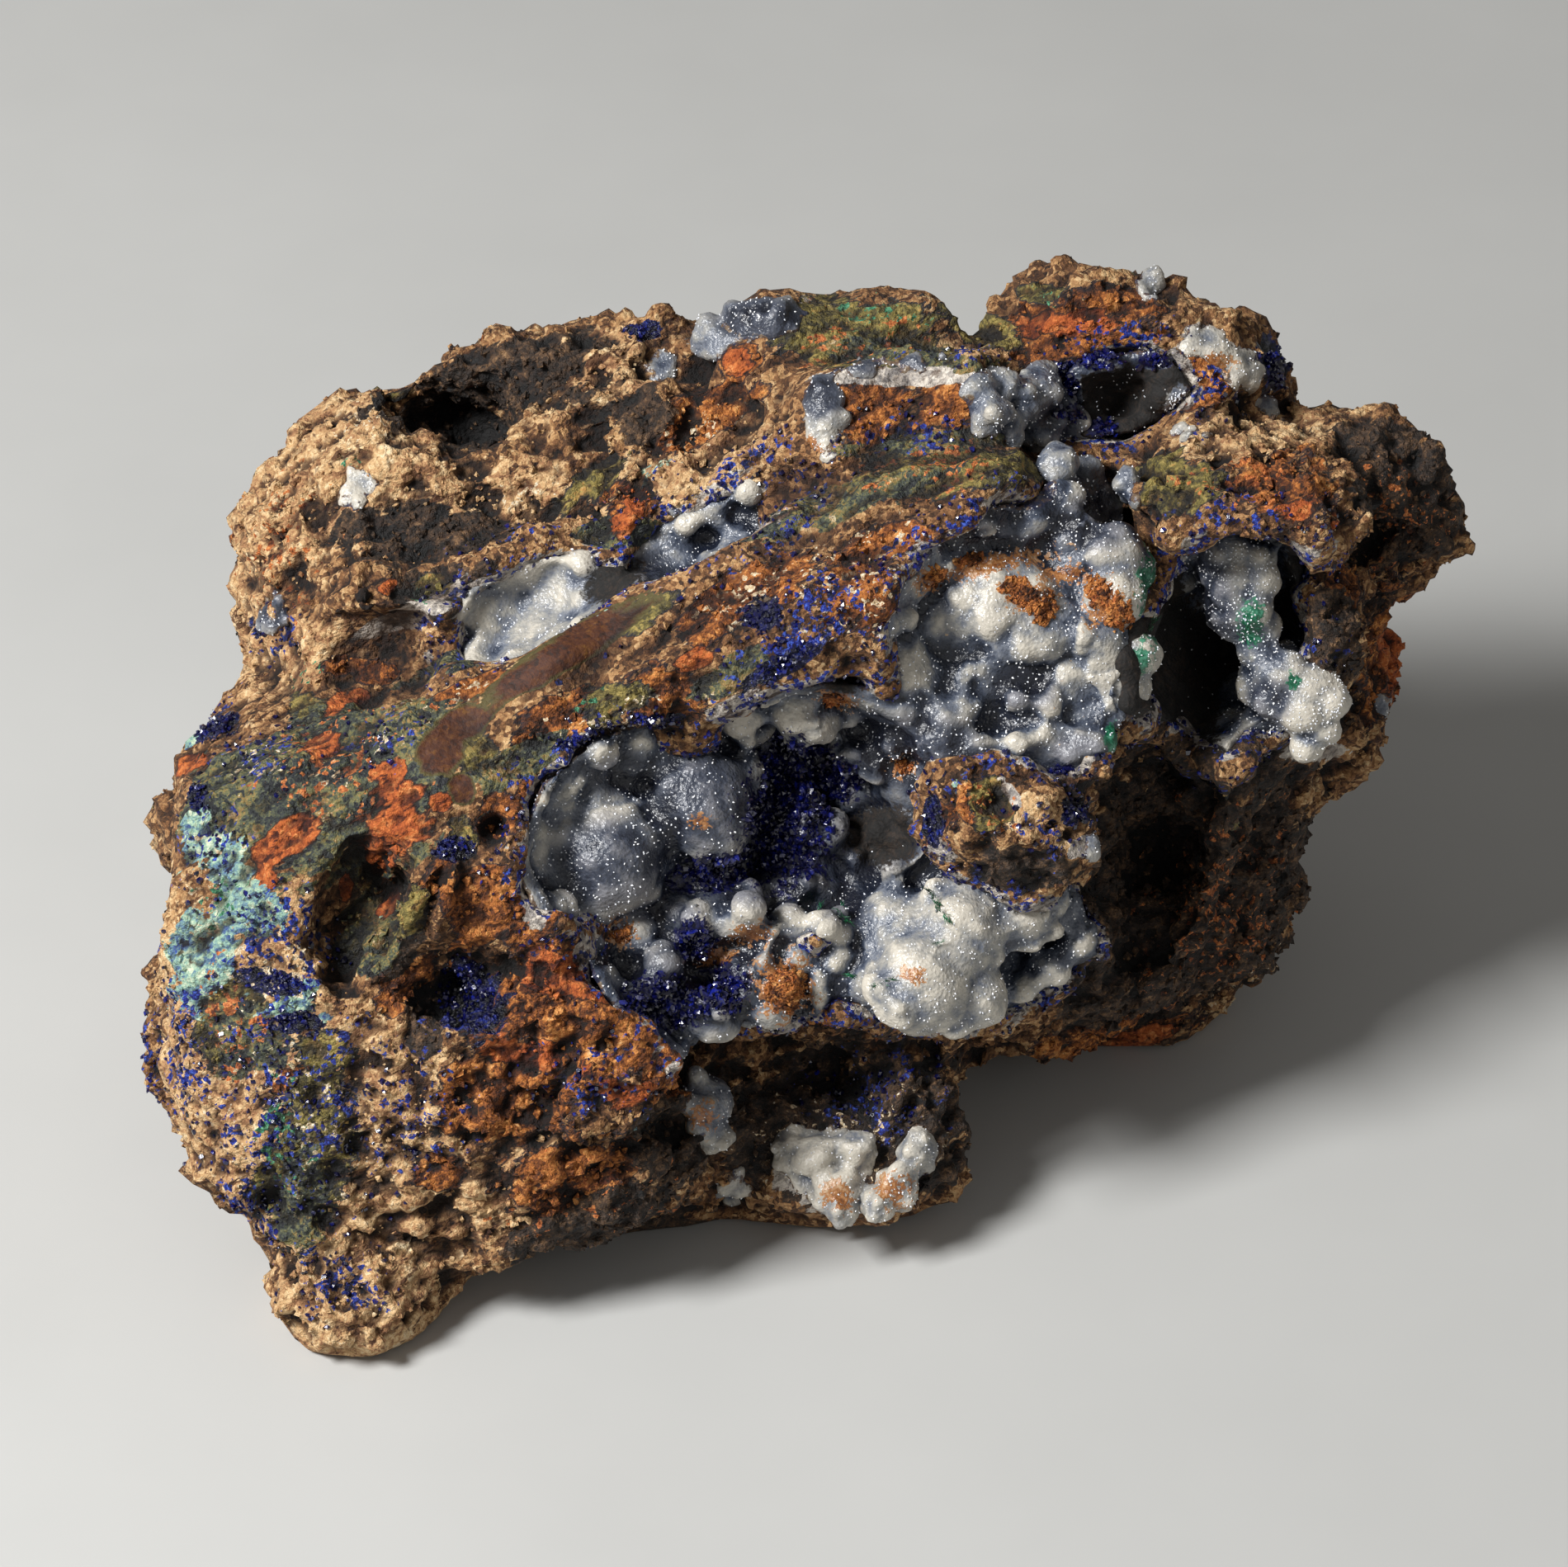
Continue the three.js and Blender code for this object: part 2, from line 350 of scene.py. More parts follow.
def stored(piece: Piece, name: str) -> Array:
    """Return an attribute of a mesh, one number for each vertex."""
    values = np.zeros(len(piece.data.vertices), np.float32)
    piece.data.attributes[name].data.foreach_get("value", values)
    return values


def tree_of(*pieces: Piece) -> BVHTree:
    """Return the faces of some pieces as one search tree.

    Args:
        *pieces: The pieces.

    Returns:
        The tree, in metres.
    """
    corners: list[list[float]] = []
    faces: list[list[int]] = []
    for piece in pieces:
        first = len(corners)
        corners += places_of(piece).tolist()
        faces += [[first + i for i in polygon.vertices] for polygon in piece.data.polygons]
    return BVHTree.FromPolygons(corners, faces)


def distances(places: Array, tree: BVHTree) -> Array:
    """Return how far places lie from the triangles of a search tree, in millimetres."""
    return np.array([tree.find_nearest(Vector(place))[3] for place in places]) / MM


CRUSTS = ("crust_front_hollow", "crust_cave", "crust_trench", "crust_crown_hollow")
SOLIDS = [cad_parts[node] for node in ("matrix", *CRUSTS)]
ROCK_TREE = tree_of(SOLIDS[0])
CRUST_TREE = tree_of(*SOLIDS[1:])
WHOLE_TREE = tree_of(*SOLIDS)


@dataclass(frozen=True)
class Relief:
    """One scale of bumps on a surface: the texture's kind and basis, its size and its height in millimetres.

    A stretched one runs along a heading in degrees on the display face.
    """

    size: float
    height: float
    kind: str = "CLOUDS"
    basis: str = "ORIGINAL_PERLIN"
    depth: int = 2
    middle: float = 0.5
    group: str = ""
    stretch: float = 1.0
    heading: float = 0.0
    sharp: bool = False

    def texture(self, name: str) -> bpy.types.Texture:
        """Make the texture that gives the bumps.

        Args:
            name: Name of the texture.

        Returns:
            The texture.
        """
        texture = bpy.data.textures.new(name, self.kind)
        texture.noise_scale = self.size * MM
        if self.kind == "CLOUDS":
            texture.noise_basis = self.basis
            texture.noise_depth = self.depth
            texture.noise_type = "HARD_NOISE" if self.sharp else "SOFT_NOISE"
        if self.kind == "VORONOI":
            texture.distance_metric = "DISTANCE_SQUARED"
        return texture

    def press(self, piece: Piece, name: str) -> None:
        """Move a surface in and out along its normals by this relief.

        Args:
            piece: The mesh.
            name: Name of the modifier.
        """
        pick(piece)
        bumps = piece.modifiers.new(name, "DISPLACE")
        bumps.texture = self.texture(name)
        bumps.texture_coords = "OBJECT"
        space = bpy.data.objects.new(name, None)
        turn = FACE.turn() @ Matrix.Rotation(math.radians(self.heading), 3, "Z")
        space.matrix_world = turn.to_4x4() @ Matrix.Diagonal((self.stretch, 1.0, 1.0, 1.0))
        bpy.context.scene.collection.objects.link(space)
        bpy.context.view_layer.update()
        bumps.texture_coords_object = space
        bumps.strength = self.height * MM
        bumps.mid_level = self.middle
        bumps.vertex_group = self.group
        bpy.ops.object.modifier_apply(modifier=name)
        bpy.data.objects.remove(space)


def group_of(piece: Piece, name: str, weights: Array) -> None:
    """Store weights for each vertex as a vertex group.

    Args:
        piece: The mesh.
        name: Name of the group.
        weights: A weight from 0 to 1 for each vertex.
    """
    group = piece.vertex_groups.new(name=name)
    levels = np.round(np.clip(weights, 0.0, 1.0) * WEIGHT_LEVELS).astype(int)
    for level in range(1, WEIGHT_LEVELS + 1):
        members = np.flatnonzero(levels == level)
        if len(members):
            group.add(members.tolist(), level / WEIGHT_LEVELS, "REPLACE")


def patch_radii(points: Array, seen: Array, patch: Patch, tree: BVHTree, reach: float) -> Array:
    """Return how far points are from the middle of a patch, as shares of its size.

    Args:
        points: x, w and t in millimetres, one a row.
        seen: Where the points show from the eye.
        patch: x, w, half length, half height and any turn in degrees, as seen from the eye.
        tree: The solid that the patch lies on.
        reach: How much deeper than wide the patch may be, in millimetres.

    Returns:
        A number for each point: 0 in the middle and 1 on the edge.
    """
    x, w, half_x, half_w, *turn = patch
    height = FACE.depth(tree, x, w)
    angle = math.radians(sum(turn))
    along = (seen[:, 0] - x) * math.cos(angle) + (seen[:, 1] - w) * math.sin(angle)
    across = (seen[:, 1] - w) * math.cos(angle) - (seen[:, 0] - x) * math.sin(angle)
    deep = (points[:, 2] - height) / (max(half_x, half_w) + reach)
    return np.sqrt((along / half_x) ** 2 + (across / half_w) ** 2 + deep**2)


def patch_mask(points: Array, patches: Sequence[Patch], tree: BVHTree, reach: float = 6.0) -> Array:
    """Return how far points lie in some patches: 1 in a middle, 0.5 on an edge, 0 from twice the size on.

    Args:
        points: x, w and t in millimetres, one a row.
        patches: The patches.
        tree: The solid that they lie on.
        reach: How much deeper than wide they may be, in millimetres.

    Returns:
        A number for each point.
    """
    seen = FACE.seen(points)
    mask = np.zeros(len(points))
    for patch in patches:
        radii = patch_radii(points, seen, patch, tree, reach)
        mask = np.maximum(mask, np.clip(1.0 - 0.5 * radii, 0.0, 1.0))
    return mask


def filled(mask: Array, less: float = 0.0, most: float = 1.0) -> Array:
    """Return a mask that is full over the whole of its patches, or over less of them."""
    return np.clip(2.0 * mask - less, 0.0, most)


def sculpt(piece: Piece, strokes: Sequence[Stroke], tree: BVHTree, reach: float = 5.0) -> None:
    """Raise or press in parts of a surface.

    Args:
        piece: The mesh.
        strokes: A patch each, then how far its middle moves out of the display face, in millimetres.
        tree: The solid that the strokes lie on.
        reach: How much deeper than wide a stroke may be, in millimetres.
    """
    places = places_of(piece)
    points = FACE.coordinates(places)
    seen = FACE.seen(points)
    normals = FACE.directions(normals_of(piece))
    for *patch, height in strokes:
        radii = patch_radii(points, seen, tuple(patch), tree, reach)
        weight = np.clip(1.0 - radii**2, 0.0, 1.0) ** 1.5
        way = 0.5 * normals + [0.0, 0.0, 0.5]
        points += way * (weight * height * (normals[:, 2] > -0.2))[:, None]
    move_to(piece, FACE.worlds(points))


class Skin:
    """The triangles of a mesh as arrays, for choosing places on it."""

    def __init__(self, piece: Piece) -> None:
        """Read the mesh of a piece."""
        mesh = piece.data
        mesh.calc_loop_triangles()
        corners = np.empty(len(mesh.loop_triangles) * 3, np.int32)
        mesh.loop_triangles.foreach_get("vertices", corners)
        self.piece = piece
        self.corners = corners.reshape(-1, 3)
        self.places = places_of(piece)
        a, b, c = (self.places[self.corners[:, i]] for i in range(3))
        across = np.cross(b - a, c - a)
        self.areas = np.linalg.norm(across, axis=1) / 2.0
        self.normals = across / np.maximum(2.0 * self.areas, LEAST_AREA)[:, None]
        self.outward = FACE.directions(self.normals)[:, 2]

    def of_triangles(self, values: Array) -> Array:
        """Return the mean of values at the vertices for each triangle."""
        return values[self.corners].mean(axis=1)

    def tinted(self, tint: Tint) -> Array:
        """Return how much of a mineral covers each triangle."""
        return self.of_triangles(stored(self.piece, tint.value))

    def facing(self, margin: float) -> Array:
        """Return how far each triangle looks out of the display face, with a margin added, from 0 to 1."""
        return np.clip(self.outward + margin, 0.0, 1.0)

    def scatter(self, rng: Generator, count: int, weights: Array) -> tuple[Array, Array, Array]:
        """Choose places on the surface at random.

        Args:
            rng: The seeded generator.
            count: How many places.
            weights: How likely each triangle is, for its area.

        Returns:
            The places in metres, the normals there and the indices of their triangles.
        """
        odds = self.areas * weights
        chosen = rng.choice(len(odds), size=count, p=odds / odds.sum())
        u, v = rng.random(count), rng.random(count)
        over = u + v > 1.0
        u[over], v[over] = 1.0 - u[over], 1.0 - v[over]
        a, b, c = (self.places[self.corners[chosen, i]] for i in range(3))
        places = a + (b - a) * u[:, None] + (c - a) * v[:, None]
        return places, self.normals[chosen], chosen


@dataclass(frozen=True)
class Seed:
    """A small shape that is repeated: its vertices, for a size of 1 standing on z = 0, and its faces."""

    vertices: Array
    faces: Array

    def swarm(self, name: str, places: Array, frames: Array, sizes: Array) -> Piece:
        """Join copies of the shape in one mesh.

        Args:
            name: Name of the new piece.
            places: Where the copies stand, in metres, one a row.
            frames: The axes of each copy, as columns of a matrix.
            sizes: Sizes of each copy along its axes, in metres.

        Returns:
            The new piece.
        """
        shaped = self.vertices[None, :, :] * sizes[:, None, :]
        corners = np.einsum("nij,nvj->nvi", frames, shaped) + places[:, None, :]
        steps = np.arange(len(places))[:, None, None] * len(self.vertices)
        faces = (self.faces[None, :, :] + steps).reshape(-1, self.faces.shape[1])
        mesh = bpy.data.meshes.new(name)
        mesh.from_pydata(corners.reshape(-1, 3), [], faces)
        return new_piece(name, mesh)


def seed_ball(divisions: int) -> Seed:
    """Return a ball of triangles with its middle at the origin.

    Args:
        divisions: How finely it is divided.

    Returns:
        The ball, with a radius of 1.
    """
    bpy.ops.object.select_all(action="DESELECT")
    bpy.ops.mesh.primitive_ico_sphere_add(subdivisions=divisions, radius=1.0)
    ball = bpy.context.object
    vertices = places_of(ball)
    faces = np.array([polygon.vertices[:] for polygon in ball.data.polygons])
    bpy.data.objects.remove(ball)
    return Seed(vertices, faces)


def swarm_of_balls(name: str, places: Array, radii: Array) -> Piece:
    """Join balls in one mesh, each at a place and with a radius in metres."""
    frames = np.repeat(np.eye(3)[None], len(places), axis=0)
    return BALL.swarm(name, places, frames, np.repeat(radii[:, None], 3, axis=1))


def seed_chip() -> Seed:
    """Return an uneven chip of eight faces, about 2 across."""
    ring = [(1.0, 0.1, 0.0), (0.0, 1.0, 0.2), (-0.9, 0.2, 0.0), (0.1, -1.1, 0.0)]
    faces = [(i, (i + 1) % 4, 4) for i in range(4)] + [((i + 1) % 4, i, 5) for i in range(4)]
    return Seed(np.array([*ring, (0.2, 0.0, 1.0), (0.0, 0.1, -1.0)]), np.array(faces))


def seed_crystal(sides: int, waist: float, shoulder: float, foot: float) -> Seed:
    """Return a closed crystal: a prism with a point on top.

    Args:
        sides: How many sides it has.
        waist: Radius for a height of 1.
        shoulder: Height at which the point starts.
        foot: Depth of the foot under the surface.

    Returns:
        The crystal, of triangles.
    """
    turns = np.arange(sides) * 2.0 * math.pi / sides
    ring = np.stack([waist * np.cos(turns), waist * np.sin(turns), np.zeros(sides)], axis=1)
    vertices = np.concatenate([ring - [0, 0, foot], ring + [0, 0, shoulder], [[0, 0, 1.0]]])
    faces = []
    top = 2 * sides
    for i in range(sides):
        j = (i + 1) % sides
        faces += [(i, j, sides + j), (i, sides + j, sides + i), (sides + i, sides + j, top)]
    faces += [(0, i + 1, i) for i in range(1, sides - 1)]
    return Seed(vertices, np.array(faces))


def frames_about(rng: Generator, normals: Array, lean: float) -> Array:
    """Return axes whose third column leans at random from each normal.

    Args:
        rng: The seeded generator.
        normals: Directions, one a row.
        lean: Greatest lean, as a share of the normal's length.

    Returns:
        A turn for each normal, as a matrix.
    """
    up = normals + lean * rng.uniform(-1.0, 1.0, normals.shape)
    up /= np.linalg.norm(up, axis=1)[:, None]
    side = np.cross(up, rng.normal(size=normals.shape))
    side /= np.linalg.norm(side, axis=1)[:, None]
    return np.stack([side, np.cross(up, side), up], axis=2)


# Materials


def linear(colour: Colour) -> tuple[float, float, float, float]:
    """Return a display colour as the linear one that shaders take."""
    light = [c / 12.92 if c <= 0.04045 else ((c + 0.055) / 1.055) ** 2.4 for c in colour]
    return (*light, 1.0)


class Shader:
    """The nodes of a material, with short calls for those that the finishes share."""

    def __init__(self, name: str) -> None:
        """Start a material with a plain surface."""
        self.material = bpy.data.materials.new(name)
        self.material.use_nodes = True
        self.tree = self.material.node_tree
        self.surface = self.tree.nodes["Principled BSDF"]
        self.place = self.add("ShaderNodeTexCoord").outputs["Object"]

    def add(
        self, kind: str, inputs: dict[str | int, object] | None = None, **options: object
    ) -> bpy.types.Node:
        """Add a node, set its options and feed its inputs.

        Args:
            kind: The node's type.
            inputs: Numbers or outputs for its inputs, by name or place.
            **options: Its options.

        Returns:
            The node.
        """
        node = self.tree.nodes.new(kind)
        for option, value in options.items():
            setattr(node, option, value)
        for name, value in (inputs or {}).items():
            self.feed(node.inputs[name], value)
        return node

    def feed(self, socket: Socket, value: object) -> None:
        """Link an output to a socket, or set the socket's own value."""
        if isinstance(value, Socket):
            self.tree.links.new(value, socket)
        else:
            socket.default_value = value

    def made(self, inputs: dict[str, object]) -> Material:
        """Feed the inputs of the surface and return the material."""
        for name, value in inputs.items():
            self.feed(self.surface.inputs[name], value)
        return self.material

    def bedding(self, heading: float, stretch: float) -> Socket:
        """Return coordinates in which a pattern runs along a heading on the display face.

        Args:
            heading: Degrees up from the right.
            stretch: How much longer than wide the pattern gets.

        Returns:
            The coordinates.
        """
        turn = FACE.turn() @ Matrix.Rotation(math.radians(heading), 3, "Z")
        inputs = {"Vector": self.place, "Rotation": turn.to_euler(), "Scale": (stretch, 1.0, 1.0)}
        return self.add("ShaderNodeMapping", inputs, vector_type="TEXTURE").outputs["Vector"]

    def noise(
        self,
        size: float,
        detail: float = 4.0,
        roughness: float = 0.6,
        twist: float = 0.0,
        place: Socket | None = None,
    ) -> Socket:
        """Return a cloudy pattern of a size in millimetres, from 0 to 1."""
        inputs = {
            "Vector": place or self.place,
            "Scale": 1.0 / (size * MM),
            "Detail": detail,
            "Roughness": roughness,
            "Distortion": twist,
        }
        return self.add("ShaderNodeTexNoise", inputs).outputs["Fac"]

    def wavy(self, size: float, twist: float) -> Socket:
        """Return coordinates that wander by a share of a size in millimetres."""
        wave = self.add("ShaderNodeTexNoise", {"Vector": self.place, "Scale": WAVE_SHARE / (size * MM)})
        inputs = {0: wave.outputs["Color"], 1: (twist * size * MM,) * 3, 2: self.place}
        return self.add("ShaderNodeVectorMath", inputs, operation="MULTIPLY_ADD").outputs[0]

    def cells(self, size: float, output: str = "Distance", place: Socket | None = None) -> Socket:
        """Return the distance to the middles of cells of a size in millimetres, or a colour for each cell."""
        inputs = {"Vector": place or self.place, "Scale": 1.0 / (size * MM)}
        return self.add("ShaderNodeTexVoronoi", inputs).outputs[output]

    def chips(self, size: float, place: object) -> list[Socket]:
        """Return chips of a size in millimetres, each with three numbers of its own from 0 to 1."""
        return list(self.add("ShaderNodeSeparateColor", {0: self.cells(size, "Color", place)}).outputs)

    def attribute(self, name: str) -> Socket:
        """Return a number that the mesh stores."""
        return self.add("ShaderNodeAttribute", attribute_name=name).outputs["Fac"]

    def math(self, operation: str, a: object, b: object = 0.0, c: object = 0.0) -> Socket:
        """Return the result of a sum on numbers."""
        return self.add("ShaderNodeMath", {0: a, 1: b, 2: c}, operation=operation).outputs[0]

    def sway(self, pattern: object, reach: float) -> Socket:
        """Return a pattern as a number that sways about 0, by a reach."""
        return self.math("MULTIPLY_ADD", pattern, reach, -0.5 * reach)

    def total(self, *values: object) -> Socket:
        """Return the sum of some numbers."""
        result = values[0]
        for value in values[1:]:
            result = self.math("ADD", result, value)
        return result

    def step(self, value: object, low: float, high: float) -> Socket:
        """Return 0 on one side of two values and 1 on the other, with a smooth change between them."""
        inputs = {"Value": value, "From Min": min(low, high), "From Max": max(low, high)}
        if low > high:
            inputs |= {"To Min": 1.0, "To Max": 0.0}
        return self.add("ShaderNodeMapRange", inputs, interpolation_type="SMOOTHSTEP").outputs["Result"]

    def ramp(self, value: object, stops: Stops) -> Socket:
        """Return the colour that a ramp of stops has for a number."""
        node = self.add("ShaderNodeValToRGB", {"Fac": value})
        elements = node.color_ramp.elements
        while len(elements) < len(stops):
            elements.new(1.0)
        for element, (position, colour) in zip(elements, stops):
            element.position = position
            element.color = linear(colour)
        return node.outputs["Color"]

    def mix(self, factor: object, a: object, b: object, blend: str = "MIX") -> Socket:
        """Return a mix of two colours."""
        node = self.add("ShaderNodeMix", data_type="RGBA", blend_type=blend)
        sockets = [socket for socket in node.inputs if socket.enabled]
        for socket, value in zip(sockets, (factor, a, b)):
            self.feed(socket, value)
        return next(socket for socket in node.outputs if socket.enabled)

    def blend(self, factor: object, a: object, b: object) -> Socket:
        """Return a mix of two numbers."""
        inputs = {"Factor": factor, "A": a, "B": b}
        return self.add("ShaderNodeMix", inputs, data_type="FLOAT").outputs["Result"]

    def bump(self, height: object, depth: float) -> Socket:
        """Return normals for bumps whose height runs from 0 to a depth in millimetres."""
        return self.add("ShaderNodeBump", {"Distance": depth * MM, "Height": height}).outputs["Normal"]


@dataclass(frozen=True)
class Tone:
    """One mineral on the rock: its colours from the darkest to the palest, its roughness, and its edge.

    Its edge is as ragged as a share tells, and dark along a rim where it has one.
    """

    tint: Tint
    stops: Stops
    roughness: float = 0.9
    ragged: float = 1.0
    rim: Colour | None = None


ROCK_TONES = (
    Tone(Tint.BUFF, (
        (0.24, (0.4, 0.27, 0.17)), (0.38, (0.6, 0.43, 0.29)), (0.5, (0.74, 0.59, 0.41)),
        (0.62, (0.84, 0.71, 0.53)), (0.76, (0.92, 0.84, 0.69)),
    )),
    Tone(Tint.OCHRE, (
        (0.3, (0.17, 0.085, 0.04)), (0.42, (0.42, 0.225, 0.09)), (0.54, (0.67, 0.4, 0.17)),
        (0.66, (0.83, 0.58, 0.32)), (0.8, (0.91, 0.76, 0.55)),
    ), rim=(0.13, 0.1, 0.12)),
    Tone(Tint.GOETHITE, (
        (0.3, (0.07, 0.05, 0.035)), (0.48, (0.19, 0.135, 0.09)), (0.6, (0.33, 0.24, 0.16)),
        (0.7, (0.48, 0.36, 0.24)), (0.8, (0.64, 0.51, 0.36)),
    ), roughness=0.75),
    Tone(Tint.OLIVE, (
        (0.3, (0.13, 0.12, 0.07)), (0.42, (0.3, 0.27, 0.14)), (0.53, (0.46, 0.41, 0.2)),
        (0.62, (0.6, 0.53, 0.29)), (0.72, (0.68, 0.5, 0.25)), (0.82, (0.76, 0.7, 0.48)),
    ), roughness=0.75, rim=(0.1, 0.1, 0.13)),
    Tone(Tint.SLATE, (
        (0.32, (0.05, 0.05, 0.08)), (0.42, (0.16, 0.18, 0.18)), (0.5, (0.29, 0.31, 0.24)),
        (0.58, (0.44, 0.42, 0.25)), (0.67, (0.58, 0.45, 0.25)), (0.77, (0.76, 0.71, 0.58)),
    ), roughness=0.65),
    Tone(Tint.ORANGE, (
        (0.28, (0.4, 0.17, 0.07)), (0.44, (0.62, 0.3, 0.12)),
        (0.58, (0.74, 0.4, 0.18)), (0.74, (0.84, 0.56, 0.33)),
    ), ragged=1.3, rim=(0.18, 0.1, 0.07)),
    Tone(Tint.STREAK, (
        (0.3, (0.14, 0.065, 0.03)), (0.46, (0.26, 0.12, 0.045)),
        (0.6, (0.33, 0.18, 0.06)), (0.74, (0.43, 0.28, 0.09)),
    ), roughness=0.75, ragged=0.45, rim=(0.3, 0.27, 0.13)),
    Tone(Tint.MILKY, (
        (0.3, (0.42, 0.4, 0.39)), (0.44, (0.6, 0.57, 0.54)),
        (0.56, (0.76, 0.72, 0.67)), (0.7, (0.86, 0.83, 0.78)),
    ), roughness=0.45),
    Tone(Tint.POWDER, (
        (0.3, (0.2, 0.28, 0.5)), (0.42, (0.38, 0.5, 0.56)),
        (0.54, (0.56, 0.69, 0.6)), (0.7, (0.8, 0.82, 0.71)),
    ), ragged=1.7),
    Tone(Tint.BLUE, (
        (0.3, (0.01, 0.012, 0.07)), (0.48, (0.02, 0.03, 0.17)),
        (0.6, (0.04, 0.07, 0.32)), (0.74, (0.16, 0.24, 0.6)),
    ), roughness=0.3, ragged=1.2),
)


@dataclass(frozen=True)
class Fleck:
    """Small grains of one mineral spread through the others, and how much of a full patch they cover."""

    tint: Tint
    share: float
    stops: Stops


ROCK_FLECKS = (
    Fleck(Tint.PALE, 0.34, (
        (0.35, (0.62, 0.51, 0.38)), (0.5, (0.82, 0.73, 0.58)), (0.65, (0.93, 0.9, 0.82)),
    )),
    Fleck(Tint.RUST, 0.36, (
        (0.35, (0.46, 0.22, 0.09)), (0.5, (0.7, 0.38, 0.17)), (0.65, (0.84, 0.56, 0.32)),
    )),
    Fleck(Tint.AZURE, 0.4, (
        (0.35, (0.03, 0.04, 0.22)), (0.5, (0.08, 0.12, 0.48)), (0.65, (0.25, 0.38, 0.75)),
    )),
    Fleck(Tint.GREEN, 0.46, (
        (0.35, (0.08, 0.26, 0.17)), (0.5, (0.17, 0.44, 0.31)), (0.65, (0.42, 0.64, 0.5)),
    )),
)


@dataclass(frozen=True)
class RockPatterns:
    """The patterns that the rock's colours and bumps share, from the broadest to the finest."""

    lobes: Socket
    edges: list[Socket]
    chips: list[Socket]
    gaps: Socket
    fine: Socket


